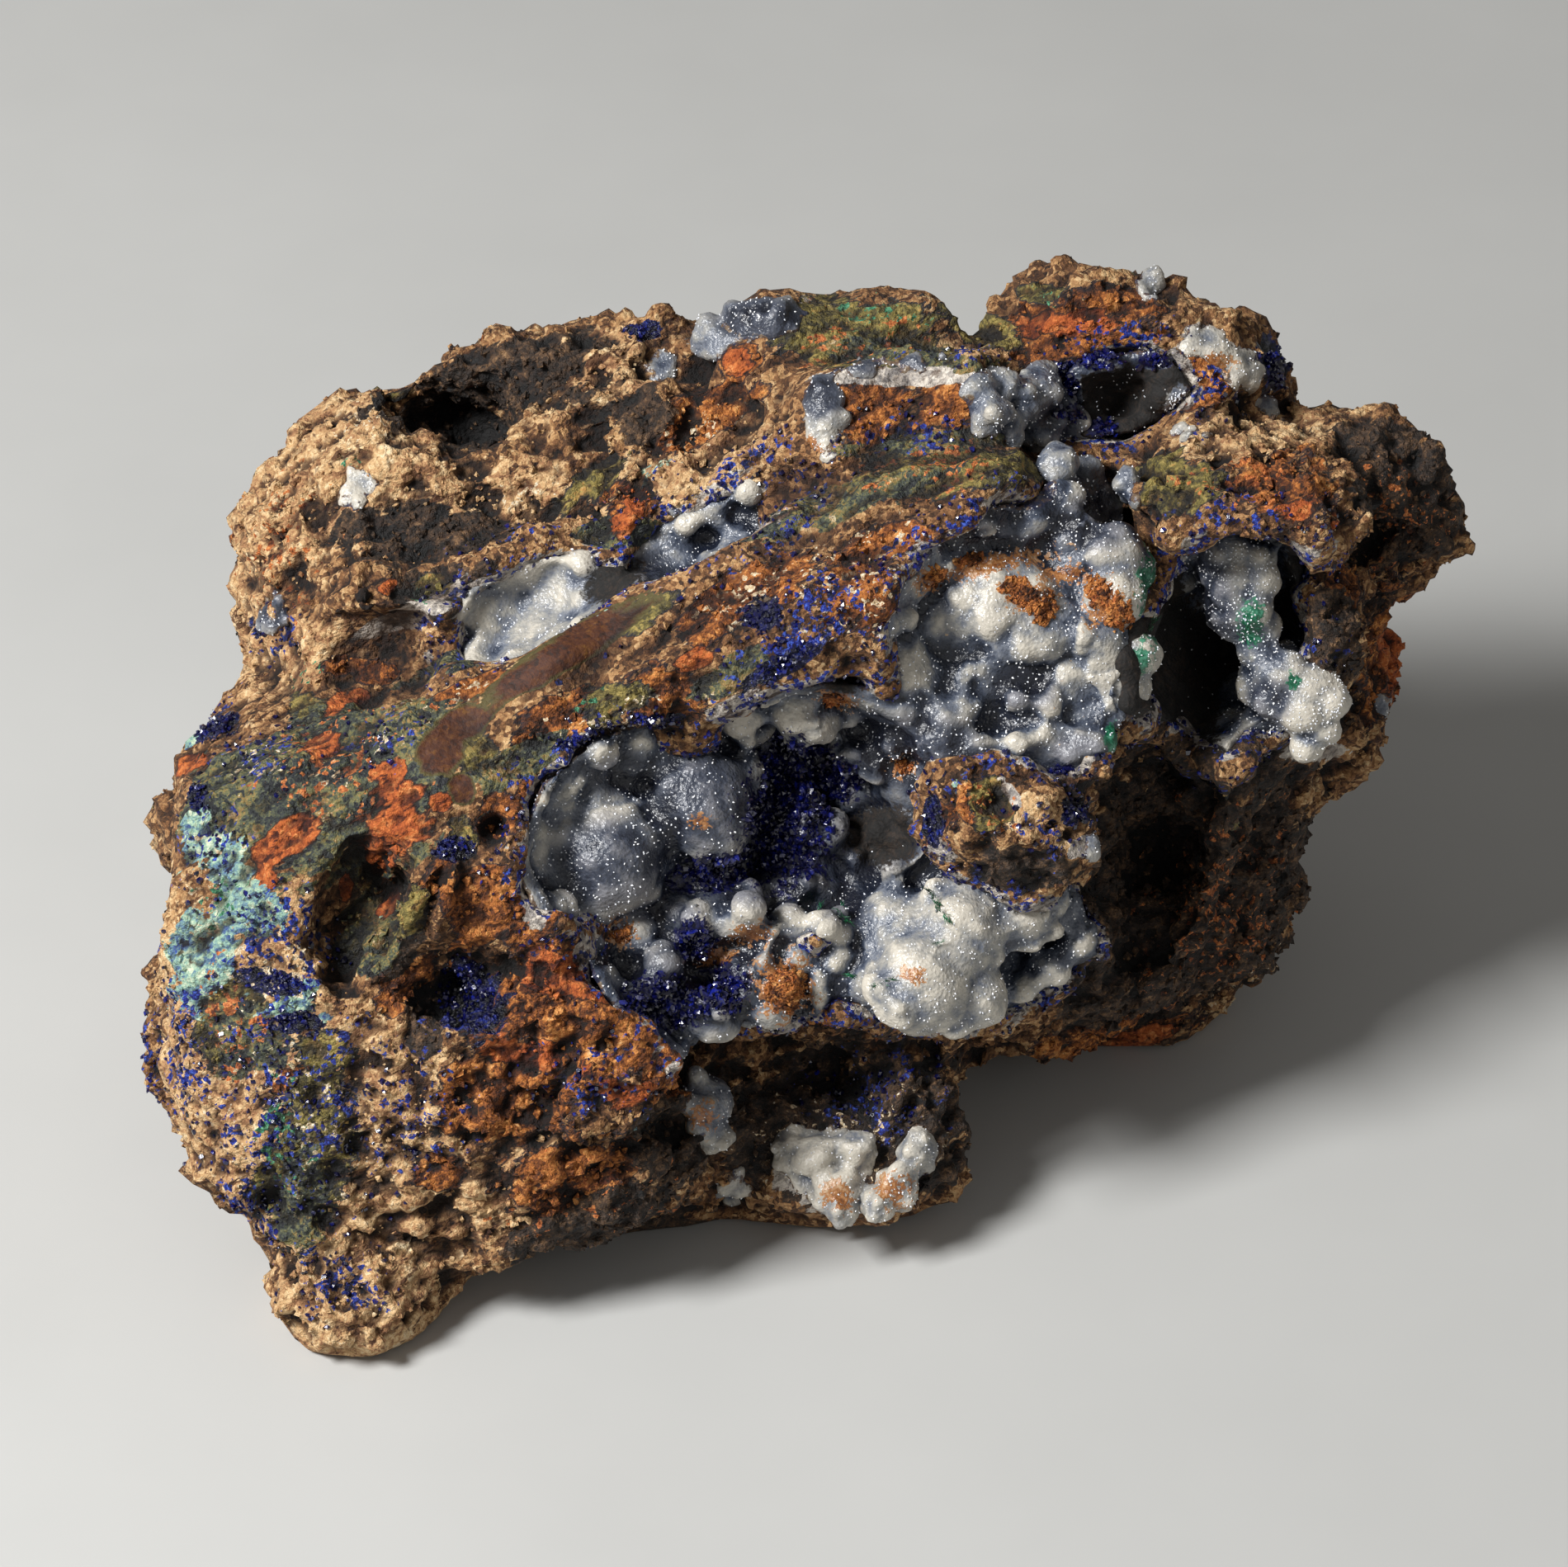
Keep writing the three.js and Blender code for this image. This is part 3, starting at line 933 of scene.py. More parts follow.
@dataclass(frozen=True)
class RockFinish:
    """Crumbly iron-oxide rock under thin skins of other minerals.

    Sizes are in millimetres. A sway is how far a pattern moves the edge or the shade of a mineral.
    """

    plain: Stops = (
        (0.26, (0.14, 0.088, 0.052)), (0.4, (0.33, 0.215, 0.125)), (0.5, (0.51, 0.35, 0.21)),
        (0.62, (0.7, 0.54, 0.36)), (0.76, (0.84, 0.72, 0.54)),
    )
    # Painted shade for how far a vertex stands out: darkest in hollows, none on crests
    hollow_shade_stops: Stops = ((0.06, (0.17, 0.13, 0.11)), (0.34, (0.6, 0.55, 0.52)), (0.54, (1.0, 1.0, 1.0)))
    # Painted shade in the gaps between the grains and in the pits
    pit_shade_colour: Colour = (0.46, 0.38, 0.34)
    plain_roughness: float = 0.9
    heading: float = 30.0
    stretch: float = 2.2
    lobe: float = 4.2
    edge_sizes: tuple[float, ...] = (1.2, 1.8, 2.7)
    lump: float = 1.2
    grain: float = 0.68
    chip_share: float = 0.7
    fine_grain: float = 0.28
    wander: float = 0.9
    cover_from: float = 0.485
    cover_to: float = 0.515
    rim_width: float = 0.1
    plain_chips: float = 0.3
    plain_sway: float = 0.35
    edge_sway: float = 0.7
    skin_chips: float = 0.2
    skin_sway: float = 0.45
    fleck_sways: Pair = (2.2, 0.4)
    fleck_gain: float = 1.2
    fleck_edge: tuple[float, float, float] = (0.86, 0.6, 0.06)
    pit_sway: float = -0.5
    pit_edge: Pair = (0.41, 0.33)
    gap_edge: Pair = (0.66, 1.0)
    bump_heights: Triple = (0.8, -0.3, 0.22)

    def make(self) -> Material:
        """Build the material.

        Returns:
            The material.
        """
        shader = Shader("rock")
        at = self.patterns(shader)
        mottle = shader.total(
            shader.blend(self.plain_chips, at.lobes, at.chips[0]), shader.sway(at.fine, self.plain_sway)
        )
        colour, roughness = self.skins(shader, at, shader.ramp(mottle, self.plain))
        colour = self.flecks(shader, at, colour)
        grit = shader.attribute(GRIT)
        return shader.made({
            "Base Color": self.shaded(shader, at, colour, grit),
            "Roughness": roughness,
            "Normal": self.bumps(shader, at, grit),
        })

    def patterns(self, shader: Shader) -> RockPatterns:
        """Lay out the patterns, the broad ones along the bedding."""
        bedded = shader.bedding(self.heading, self.stretch)
        ragged = shader.wavy(self.grain, self.wander)
        return RockPatterns(
            lobes=shader.noise(self.lobe, twist=0.5, place=bedded),
            edges=[shader.noise(size, roughness=0.65, place=bedded) for size in self.edge_sizes],
            chips=shader.chips(self.chip_share * self.grain, ragged),
            gaps=shader.cells(self.grain, place=ragged),
            fine=shader.noise(self.fine_grain, detail=3.0, roughness=0.7),
        )

    def skins(self, shader: Shader, at: RockPatterns, colour: object) -> tuple[object, object]:
        """Lay the minerals over the plain rock, one after the other.

        Args:
            shader: The material.
            at: Its patterns.
            colour: The plain rock's colour.

        Returns:
            The colour and the roughness.
        """
        roughness: object = self.plain_roughness
        for index, tone in enumerate(ROCK_TONES):
            own, other = (at.edges[(index + step) % len(at.edges)] for step in range(2))
            level = shader.total(
                shader.attribute(tone.tint.value),
                shader.sway(at.lobes, tone.ragged if index % 2 else -tone.ragged),
                shader.sway(own, self.edge_sway * tone.ragged),
            )
            cover = shader.step(level, self.cover_from, self.cover_to)
            shade = shader.total(
                shader.blend(self.skin_chips, other, at.chips[0]), shader.sway(at.fine, self.skin_sway)
            )
            skin = shader.ramp(shade, tone.stops)
            if tone.rim:
                inside = shader.step(level, self.cover_to, self.cover_to + self.rim_width)
                skin = shader.mix(inside, linear(tone.rim), skin)
            colour = shader.mix(cover, colour, skin)
            roughness = shader.blend(cover, roughness, tone.roughness)
        return colour, roughness

    def flecks(self, shader: Shader, at: RockPatterns, colour: object) -> object:
        """Spread the small grains over the minerals and return the colour.

        Args:
            shader: The material.
            at: Its patterns.
            colour: The colour so far.

        Returns:
            The colour with the grains.
        """
        full, less, fade = self.fleck_edge
        for index, fleck in enumerate(ROCK_FLECKS):
            weight = shader.attribute(fleck.tint.value)
            level = shader.total(
                at.chips[index % len(at.chips)],
                shader.sway(at.edges[index % len(at.edges)], self.fleck_sways[0]),
                shader.sway(at.fine, self.fleck_sways[1]),
                shader.math("MULTIPLY_ADD", weight, self.fleck_gain, -self.fleck_gain),
            )
            edge = full - less * fleck.share
            cover = shader.step(level, edge, edge + fade)
            colour = shader.mix(cover, colour, shader.ramp(at.fine, fleck.stops))
        return colour

    def shaded(self, shader: Shader, at: RockPatterns, colour: object, grit: object) -> Socket:
        """Paint shade into the gaps between the grains, the pits and the hollows of a surface.

        Args:
            shader: The material.
            at: Its patterns.
            colour: The colour so far.
            grit: How coarse the surface is.

        Returns:
            The colour, with the painted shade.
        """
        pits = shader.total(at.edges[0], shader.sway(at.lobes, self.pit_sway))
        holes, gaps = shader.step(pits, *self.pit_edge), shader.step(at.gaps, *self.gap_edge)
        # Painted shade in the pits and between the grains, then in the hollows
        dark = shader.math("MULTIPLY", shader.math("MAXIMUM", holes, gaps), grit)
        pit_shaded = shader.mix(1.0, colour, linear(self.pit_shade_colour), "MULTIPLY")
        shade = shader.ramp(shader.attribute(CREST_SHADE), self.hollow_shade_stops)
        return shader.mix(1.0, shader.mix(dark, colour, pit_shaded), shade, "MULTIPLY")

    def bumps(self, shader: Shader, at: RockPatterns, grit: object) -> Socket:
        """Return normals that roughen the surface at the size of its grains."""
        lumps = shader.noise(self.lump, roughness=0.7)
        parts = zip((lumps, at.gaps, at.fine), self.bump_heights)
        height = shader.total(*(shader.math("MULTIPLY", part, share) for part, share in parts))
        return shader.bump(shader.math("MULTIPLY", height, grit), 1.0)


@dataclass(frozen=True)
class QuartzFinish:
    """Drusy quartz, white on its crests and blue grey in its recesses, partly its own tint and partly painted
    shade, with the stains of other minerals.
    """

    # The quartz's colours for its tone: blue grey in recesses, partly painted shade, to white on crests
    milky: Stops = (
        (0.14, (0.09, 0.11, 0.16)), (0.3, (0.24, 0.27, 0.33)), (0.42, (0.42, 0.44, 0.48)),
        (0.55, (0.57, 0.565, 0.55)), (0.72, (0.75, 0.725, 0.675)),
    )
    smoke: Stops = ((0.3, (0.09, 0.1, 0.14)), (0.5, (0.24, 0.26, 0.31)), (0.7, (0.49, 0.49, 0.51)))
    contact: Stops = (
        (0.3, (0.05, 0.06, 0.12)), (0.46, (0.16, 0.18, 0.28)), (0.56, (0.4, 0.32, 0.24)),
        (0.7, (0.6, 0.56, 0.5)),
    )
    rust: Stops = (
        (0.34, (0.24, 0.12, 0.05)), (0.46, (0.49, 0.29, 0.14)), (0.56, (0.65, 0.45, 0.27)),
        (0.66, (0.75, 0.64, 0.52)),
    )
    druse: Stops = ((0.3, (0.006, 0.008, 0.05)), (0.5, (0.02, 0.024, 0.15)), (0.72, (0.06, 0.08, 0.34)))
    verdigris: Stops = ((0.3, (0.01, 0.16, 0.1)), (0.5, (0.06, 0.36, 0.25)), (0.7, (0.4, 0.66, 0.55)))
    # Dark goethite, which also paints the shade in the cave, the crown hollow and some deep openings
    dark: Stops = ((0.32, (0.02, 0.016, 0.012)), (0.5, (0.06, 0.045, 0.035)), (0.66, (0.2, 0.15, 0.11)))
    roughness: float = 0.32
    dark_roughness: float = 0.85
    cloud: float = 3.0
    grain: float = 0.5
    point: float = 0.36
    crest_gain: float = 0.9
    crest_shift: float = -0.08
    cloud_sway: float = 0.8
    grain_sway: float = 0.3
    milk_gain: float = 0.31
    grain_blend: float = 0.55
    point_depth: float = 0.14
    glow: float = 0.2
    glow_depth: float = 0.8

    def make(self) -> Material:
        """Build the material.

        Returns:
            The material.
        """
        shader = Shader("quartz")
        clouds = shader.noise(self.cloud)
        grain = shader.noise(self.grain, detail=3.0, roughness=0.65)
        # The crest level lightens crests and darkens recesses: partly the quartz's own tint, partly painted
        # shade
        tone = shader.total(
            shader.math("MULTIPLY_ADD", shader.attribute(CREST_SHADE), self.crest_gain, self.crest_shift),
            shader.sway(clouds, self.cloud_sway),
            shader.sway(grain, self.grain_sway),
            shader.math("MULTIPLY", shader.attribute(Tint.MILKY.value), self.milk_gain),
        )
        mottle = shader.blend(self.grain_blend, clouds, grain)
        colour, roughness = self.stains(shader, tone, mottle)
        points = shader.math("MULTIPLY_ADD", shader.cells(self.point), 0.5, grain)
        return shader.made({
            "Base Color": colour,
            "Roughness": roughness,
            "IOR": QUARTZ_IOR,
            "Subsurface Weight": self.glow,
            "Subsurface Radius": (1.0, 1.0, 1.0),
            "Subsurface Scale": self.glow_depth * MM,
            "Normal": shader.bump(points, self.point_depth),
        })

    def stains(self, shader: Shader, tone: object, mottle: object) -> tuple[object, object]:
        """Lay the stains over the white quartz, each with its edge and how ragged the edge is.

        Args:
            shader: The material.
            tone: The pattern that the quartz takes its colours from.
            mottle: The pattern that the stains take theirs from.

        Returns:
            The colour and the roughness.
        """
        colour: object = shader.ramp(tone, self.milky)
        roughness: object = self.roughness
        layers = (
            (Tint.SMOKY, self.smoke, 0.4, 0.72, 0.5),
            (Tint.CONTACT, self.contact, 0.5, 0.62, 1.6),
            (Tint.OCHRE, self.rust, 0.56, 0.66, 3.4),
            # Goethite, and painted shade in the cave, the crown hollow and deep openings
            (Tint.GOETHITE, self.dark, 0.45, 0.6, 1.2),
            (Tint.BLUE, self.druse, 0.46, 0.58, 1.6),
            (Tint.GREEN, self.verdigris, 0.52, 0.66, 1.6),
        )
        for tint, stops, low, high, ragged in layers:
            level = shader.total(shader.attribute(tint.value), shader.sway(mottle, ragged))
            cover = shader.step(level, low, high)
            colour = shader.mix(cover, colour, shader.ramp(tone if tint is Tint.SMOKY else mottle, stops))
            if tint is Tint.GOETHITE:
                roughness = shader.blend(cover, roughness, self.dark_roughness)
        return colour, roughness


@dataclass(frozen=True)
class CrystalFinish:
    """Small glossy crystals of one mineral."""

    name: str
    stops: Stops
    roughness: float
    ior: float
    coat: float
    mottle: float = 1.2
    grain: float = 0.15
    grain_depth: float = 0.02

    def make(self) -> Material:
        """Build the material."""
        shader = Shader(self.name)
        return shader.made({
            "Base Color": shader.ramp(shader.noise(self.mottle, detail=3.0), self.stops),
            "Roughness": self.roughness,
            "IOR": self.ior,
            "Coat Weight": self.coat,
            "Normal": shader.bump(shader.noise(self.grain), self.grain_depth),
        })


QUARTZ_POINTS = CrystalFinish(
    "quartz_points",
    ((0.35, (0.86, 0.88, 0.92)), (0.6, (1.0, 1.0, 1.0))),
    roughness=0.1,
    ior=QUARTZ_IOR,
    coat=0.8,
)
AZURITE = CrystalFinish(
    "azurite",
    ((0.35, (0.012, 0.014, 0.1)), (0.55, (0.03, 0.04, 0.26)), (0.7, (0.08, 0.13, 0.5))),
    roughness=0.16,
    ior=1.73,
    coat=0.4,
)
MALACHITE = CrystalFinish(
    "malachite",
    ((0.35, (0.0, 0.17, 0.09)), (0.55, (0.01, 0.36, 0.2)), (0.7, (0.2, 0.55, 0.4))),
    roughness=0.4,
    ior=1.66,
    coat=0.2,
)


# The rock


@dataclass
class RockBody:
    """The block of iron-oxide rock, with the skins of other minerals that colour it."""

    cell: float = 1.12
    softening: int = 3
    seed: int = 5
    crumbs: int = 620
    crumb_radii: Pair = (1.1, 2.5)
    crumb_stretch: Pair = (0.7, 1.3)
    lip_tries: int = 6
    lip_facing: float = 0.2
    lip_width: float = 1.3
    front_from: float = 0.12
    base_height: float = 0.8
    base_fade: float = 1.5
    smooth_share: float = 0.75
    crust_fade: float = 3.0
    crust_least: float = 0.35
    bedded_share: float = 0.8
    hidden_from: float = 0.8
    hidden_fade: float = 3.0
    halos: tuple[tuple[Tint, float, float], ...] = ((Tint.MILKY, 0.62, 0.2), (Tint.AZURE, 0.95, 0.12))
    bare_share: float = 1.2
    bare_edge: float = 0.8
    polish: float = 0.8
    polish_edge: float = 0.4
    crest_scales: Scales = ((8, 0.7), (40, 0.4))
    lumps: tuple[Relief, ...] = (
        Relief(size=6.0, height=3.0, depth=2, group="crumbly", sharp=True, middle=0.3),
        Relief(size=3.6, height=2.0, basis="VORONOI_F1", depth=0, middle=0.5, group="crumbly"),
        Relief(size=2.2, height=1.3, depth=2, group="crumbly", sharp=True, middle=0.3),
        Relief(size=1.9, height=-1.1, basis="VORONOI_F1", depth=0, middle=0.4, group="crumbly"),
        Relief(
            size=3.0, height=1.6, depth=2, group="bedded", stretch=3.0, heading=30.0, sharp=True, middle=0.3
        ),
        Relief(size=1.6, height=0.9, depth=1, group="bedded", stretch=2.0, heading=30.0),
    )
    grains: tuple[Relief, ...] = (
        Relief(size=1.3, height=1.0, depth=3, group="crumbly"),
        Relief(size=1.2, height=0.7, depth=2, group="bedded", sharp=True, middle=0.3),
    )

    def build(self) -> Piece:
        """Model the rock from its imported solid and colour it.

        Returns:
            The finished rock.
        """
        body = copy_of("matrix", "rock_body")
        join(body, self.overgrowth())
        remesh(body, self.cell, self.softening)
        self.refine(body)
        sculpt(body, ROCK_STROKES, ROCK_TREE)
        self.group(body)
        for index, relief in enumerate(self.lumps + self.grains):
            relief.press(body, f"relief_{index}")
        keep_in_box(body)
        self.colour(body)
        body.vertex_groups.clear()
        return dress(body, ROCK_MATERIAL, smooth=True)

    def overgrowth(self) -> Piece:
        """Make the crumbs of rock that have grown over the rims of the hollows.

        Returns:
            The crumbs, as one mesh.
        """
        rng = np.random.default_rng(self.seed)
        spots = []
        for node in CRUSTS[:3]:
            skin = Skin(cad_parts[node])
            tries = self.lip_tries * self.crumbs
            spots.append(skin.scatter(rng, tries, skin.outward > self.lip_facing)[0])
        lips = np.concatenate(spots)
        near = [ROCK_TREE.find_nearest(Vector(spot)) for spot in lips]
        gaps = np.array([hit[3] for hit in near]) / MM
        feet = np.array([hit[0] for hit in near])[gaps < self.lip_width]
        feet = feet[rng.permutation(len(feet))[: self.crumbs]]
        radii = rng.uniform(*self.crumb_radii, (len(feet), 1)) * MM
        frames = frames_about(rng, rng.normal(size=feet.shape), 0.1)
        return BALL.swarm("overgrowth", feet, frames, radii * rng.uniform(*self.crumb_stretch, feet.shape))

    def refine(self, body: Piece) -> None:
        """Divide the faces that look out of the display face once more.

        Args:
            body: The rock, just remeshed.
        """
        normals = np.empty(len(body.data.polygons) * 3, np.float32)
        body.data.polygons.foreach_get("normal", normals)
        outward = FACE.directions(normals.reshape(-1, 3).astype(float))[:, 2]
        pick(body)
        bpy.ops.object.mode_set(mode="EDIT")
        bpy.ops.mesh.select_all(action="DESELECT")
        bpy.ops.object.mode_set(mode="OBJECT")
        body.data.polygons.foreach_set("select", outward > self.front_from)
        bpy.ops.object.mode_set(mode="EDIT")
        bpy.ops.mesh.subdivide(number_cuts=1)
        bpy.ops.mesh.vertices_smooth(factor=0.5, repeat=2)
        bpy.ops.object.mode_set(mode="OBJECT")

    def group(self, body: Piece) -> None:
        """Tell crumbly rock from bedded rock, and spare the base, the smooth skins and the hollows' rims.

        Args:
            body: The rock, before its relief.
        """
        places = places_of(body)
        points = FACE.coordinates(places)
        rough = np.clip((places[:, 2] / MM - self.base_height) / self.base_fade, 0.0, 1.0)
        smooth = patch_mask(points, ROCK_PATCHES[Tint.STREAK] + ROCK_PATCHES[Tint.MILKY], ROCK_TREE)
        rough *= 1.0 - self.smooth_share * filled(smooth)
        rough *= np.clip(distances(places, CRUST_TREE) / self.crust_fade, self.crust_least, 1.0)
        bedded = filled(patch_mask(points, BEDDED, ROCK_TREE))
        group_of(body, "bedded", rough * bedded)
        group_of(body, "crumbly", rough * (1.0 - self.bedded_share * bedded))

    def strew(self, points: Array, outward: Array, masks: dict[Tint, Array]) -> None:
        """Spread patches of the minerals over the sides and the back.

        Args:
            points: x, w and t of the vertices in millimetres.
            outward: How far each vertex looks out of the display face.
            masks: How much of each mineral covers every vertex, which is added to.
        """
        rng = np.random.default_rng(self.seed + 1)
        hidden = np.clip(self.hidden_from - self.hidden_fade * outward, 0.0, 1.0)
        behind = np.flatnonzero(outward < 0.0)
        for tint, count, sizes in STREWN:
            for centre in points[rng.choice(behind, count)]:
                radii = np.linalg.norm(points - centre, axis=1) / rng.uniform(*sizes)
                masks[tint] = np.maximum(masks[tint], hidden * np.clip(1.0 - 0.5 * radii, 0.0, 1.0))

    def colour(self, body: Piece) -> None:
        """Store how much of each mineral covers every vertex, and how far it stands out, for the painted
        shade in its hollows.

        Args:
            body: The rock in its final shape.
        """
        places = places_of(body)
        points = FACE.coordinates(places)
        gap = distances(places, CRUST_TREE)
        masks = {tint: patch_mask(points, ROCK_PATCHES.get(tint, ()), ROCK_TREE) for tint in ROCK_TINTS}
        self.strew(points, FACE.directions(normals_of(body))[:, 2], masks)
        for tint, beside, fade in self.halos:
            masks[tint] = np.maximum(masks[tint], beside - fade * gap)
        bare = self.bare_share * filled(masks[Tint.STREAK], self.bare_edge)
        for fleck in ROCK_FLECKS:
            masks[fleck.tint] = masks[fleck.tint] - bare
        for tint, mask in masks.items():
            store(body, tint.value, mask)
        smooth = np.maximum(masks[Tint.STREAK], 0.5 * masks[Tint.MILKY])
        store(body, GRIT, 1.0 - self.polish * filled(smooth, self.polish_edge))
        # How far each vertex stands out, which the rock's colour turns into painted shade
        store(body, CREST_SHADE, crest_level(body, self.crest_scales))


# Minerals on the sides and the back: how many patches, and from what size to what size
STREWN = (
    (Tint.OCHRE, 40, (3.0, 9.0)), (Tint.GOETHITE, 30, (2.0, 7.0)), (Tint.BUFF, 30, (3.0, 10.0)),
    (Tint.OLIVE, 12, (1.5, 4.0)), (Tint.SLATE, 10, (1.5, 4.5)), (Tint.ORANGE, 14, (1.0, 3.0)),
    (Tint.AZURE, 16, (3.0, 8.0)), (Tint.PALE, 16, (3.0, 8.0)), (Tint.RUST, 14, (4.0, 9.0)),
    (Tint.GREEN, 4, (2.0, 4.0)), (Tint.MILKY, 3, (1.2, 2.4)),
)

ROCK_TINTS = tuple(tone.tint for tone in ROCK_TONES) + tuple(fleck.tint for fleck in ROCK_FLECKS)

# The bedded parts, and the ledges (above 0) and pits (below 0) on the rock
BEDDED: Patches = (
    (-42.6, 1, 14, 11, 20), (-24, 12, 14, 4, 30), (-50, -12, 7, 12), (3, 20, 12, 4, 20), (4, 42, 10, 4),
    (11, 32, 11, 6, 5),
)

ROCK_STROKES: tuple[Stroke, ...] = (
    (-31.5, 34.5, 7, 3.2, -8, -5), (-38.6, -7, 2, 3, 8, -2), (-42.2, -15.4, 2, 3, 0, -2),
    (-28.4, -1.7, 1.4, 1.6, 0, -2.5), (-33, -18, 3, 4, 20, -3), (-24, -27, 4, 2.4, 10, -2),
    (-33, 20, 6, 2, 0, -1.5), (-19, 33, 2.2, 2, 0, -1.6), (-41, -4, 2, 1.4, 30, -1.5),
    (-12, -29, 4, 2, 0, -2.5), (33, -4, 6, 5, 0, -2.5), (30, -14, 4, 4, 0, -2), (40, -9, 4, 6, 0, -1.6),
    (17.5, 0.5, 1.2, 3, 0, -1.2), (-14.5, 16.8, 3, 1.6, 30, 0.8), (-24, 12.6, 9, 2, 30, 0.9),
    (-20, -18.5, 8, 3, -14, 1.2), (-8, 22, 4, 1, 25, 0.6), (-38.2, -6, 0.9, 4.4, -30, 1.6),
    (-35.4, -8.8, 0.9, 5, -25, 2.2), (-32.6, -7.4, 0.9, 4.6, -20, 1.6), (-39.4, -12.6, 1, 3.4, -20, 2),
    (-16.2, 26.6, 3.2, 2.6, 25, 2.6), (-16.8, 26.2, 1.4, 1, 25, -1.6), (47.6, 15.8, 2.6, 6.4, 0, 2.2),
    (44.4, 22.6, 1.8, 3, 0, -3), (51, 24, 2.4, 2.4, 0, -3),
)

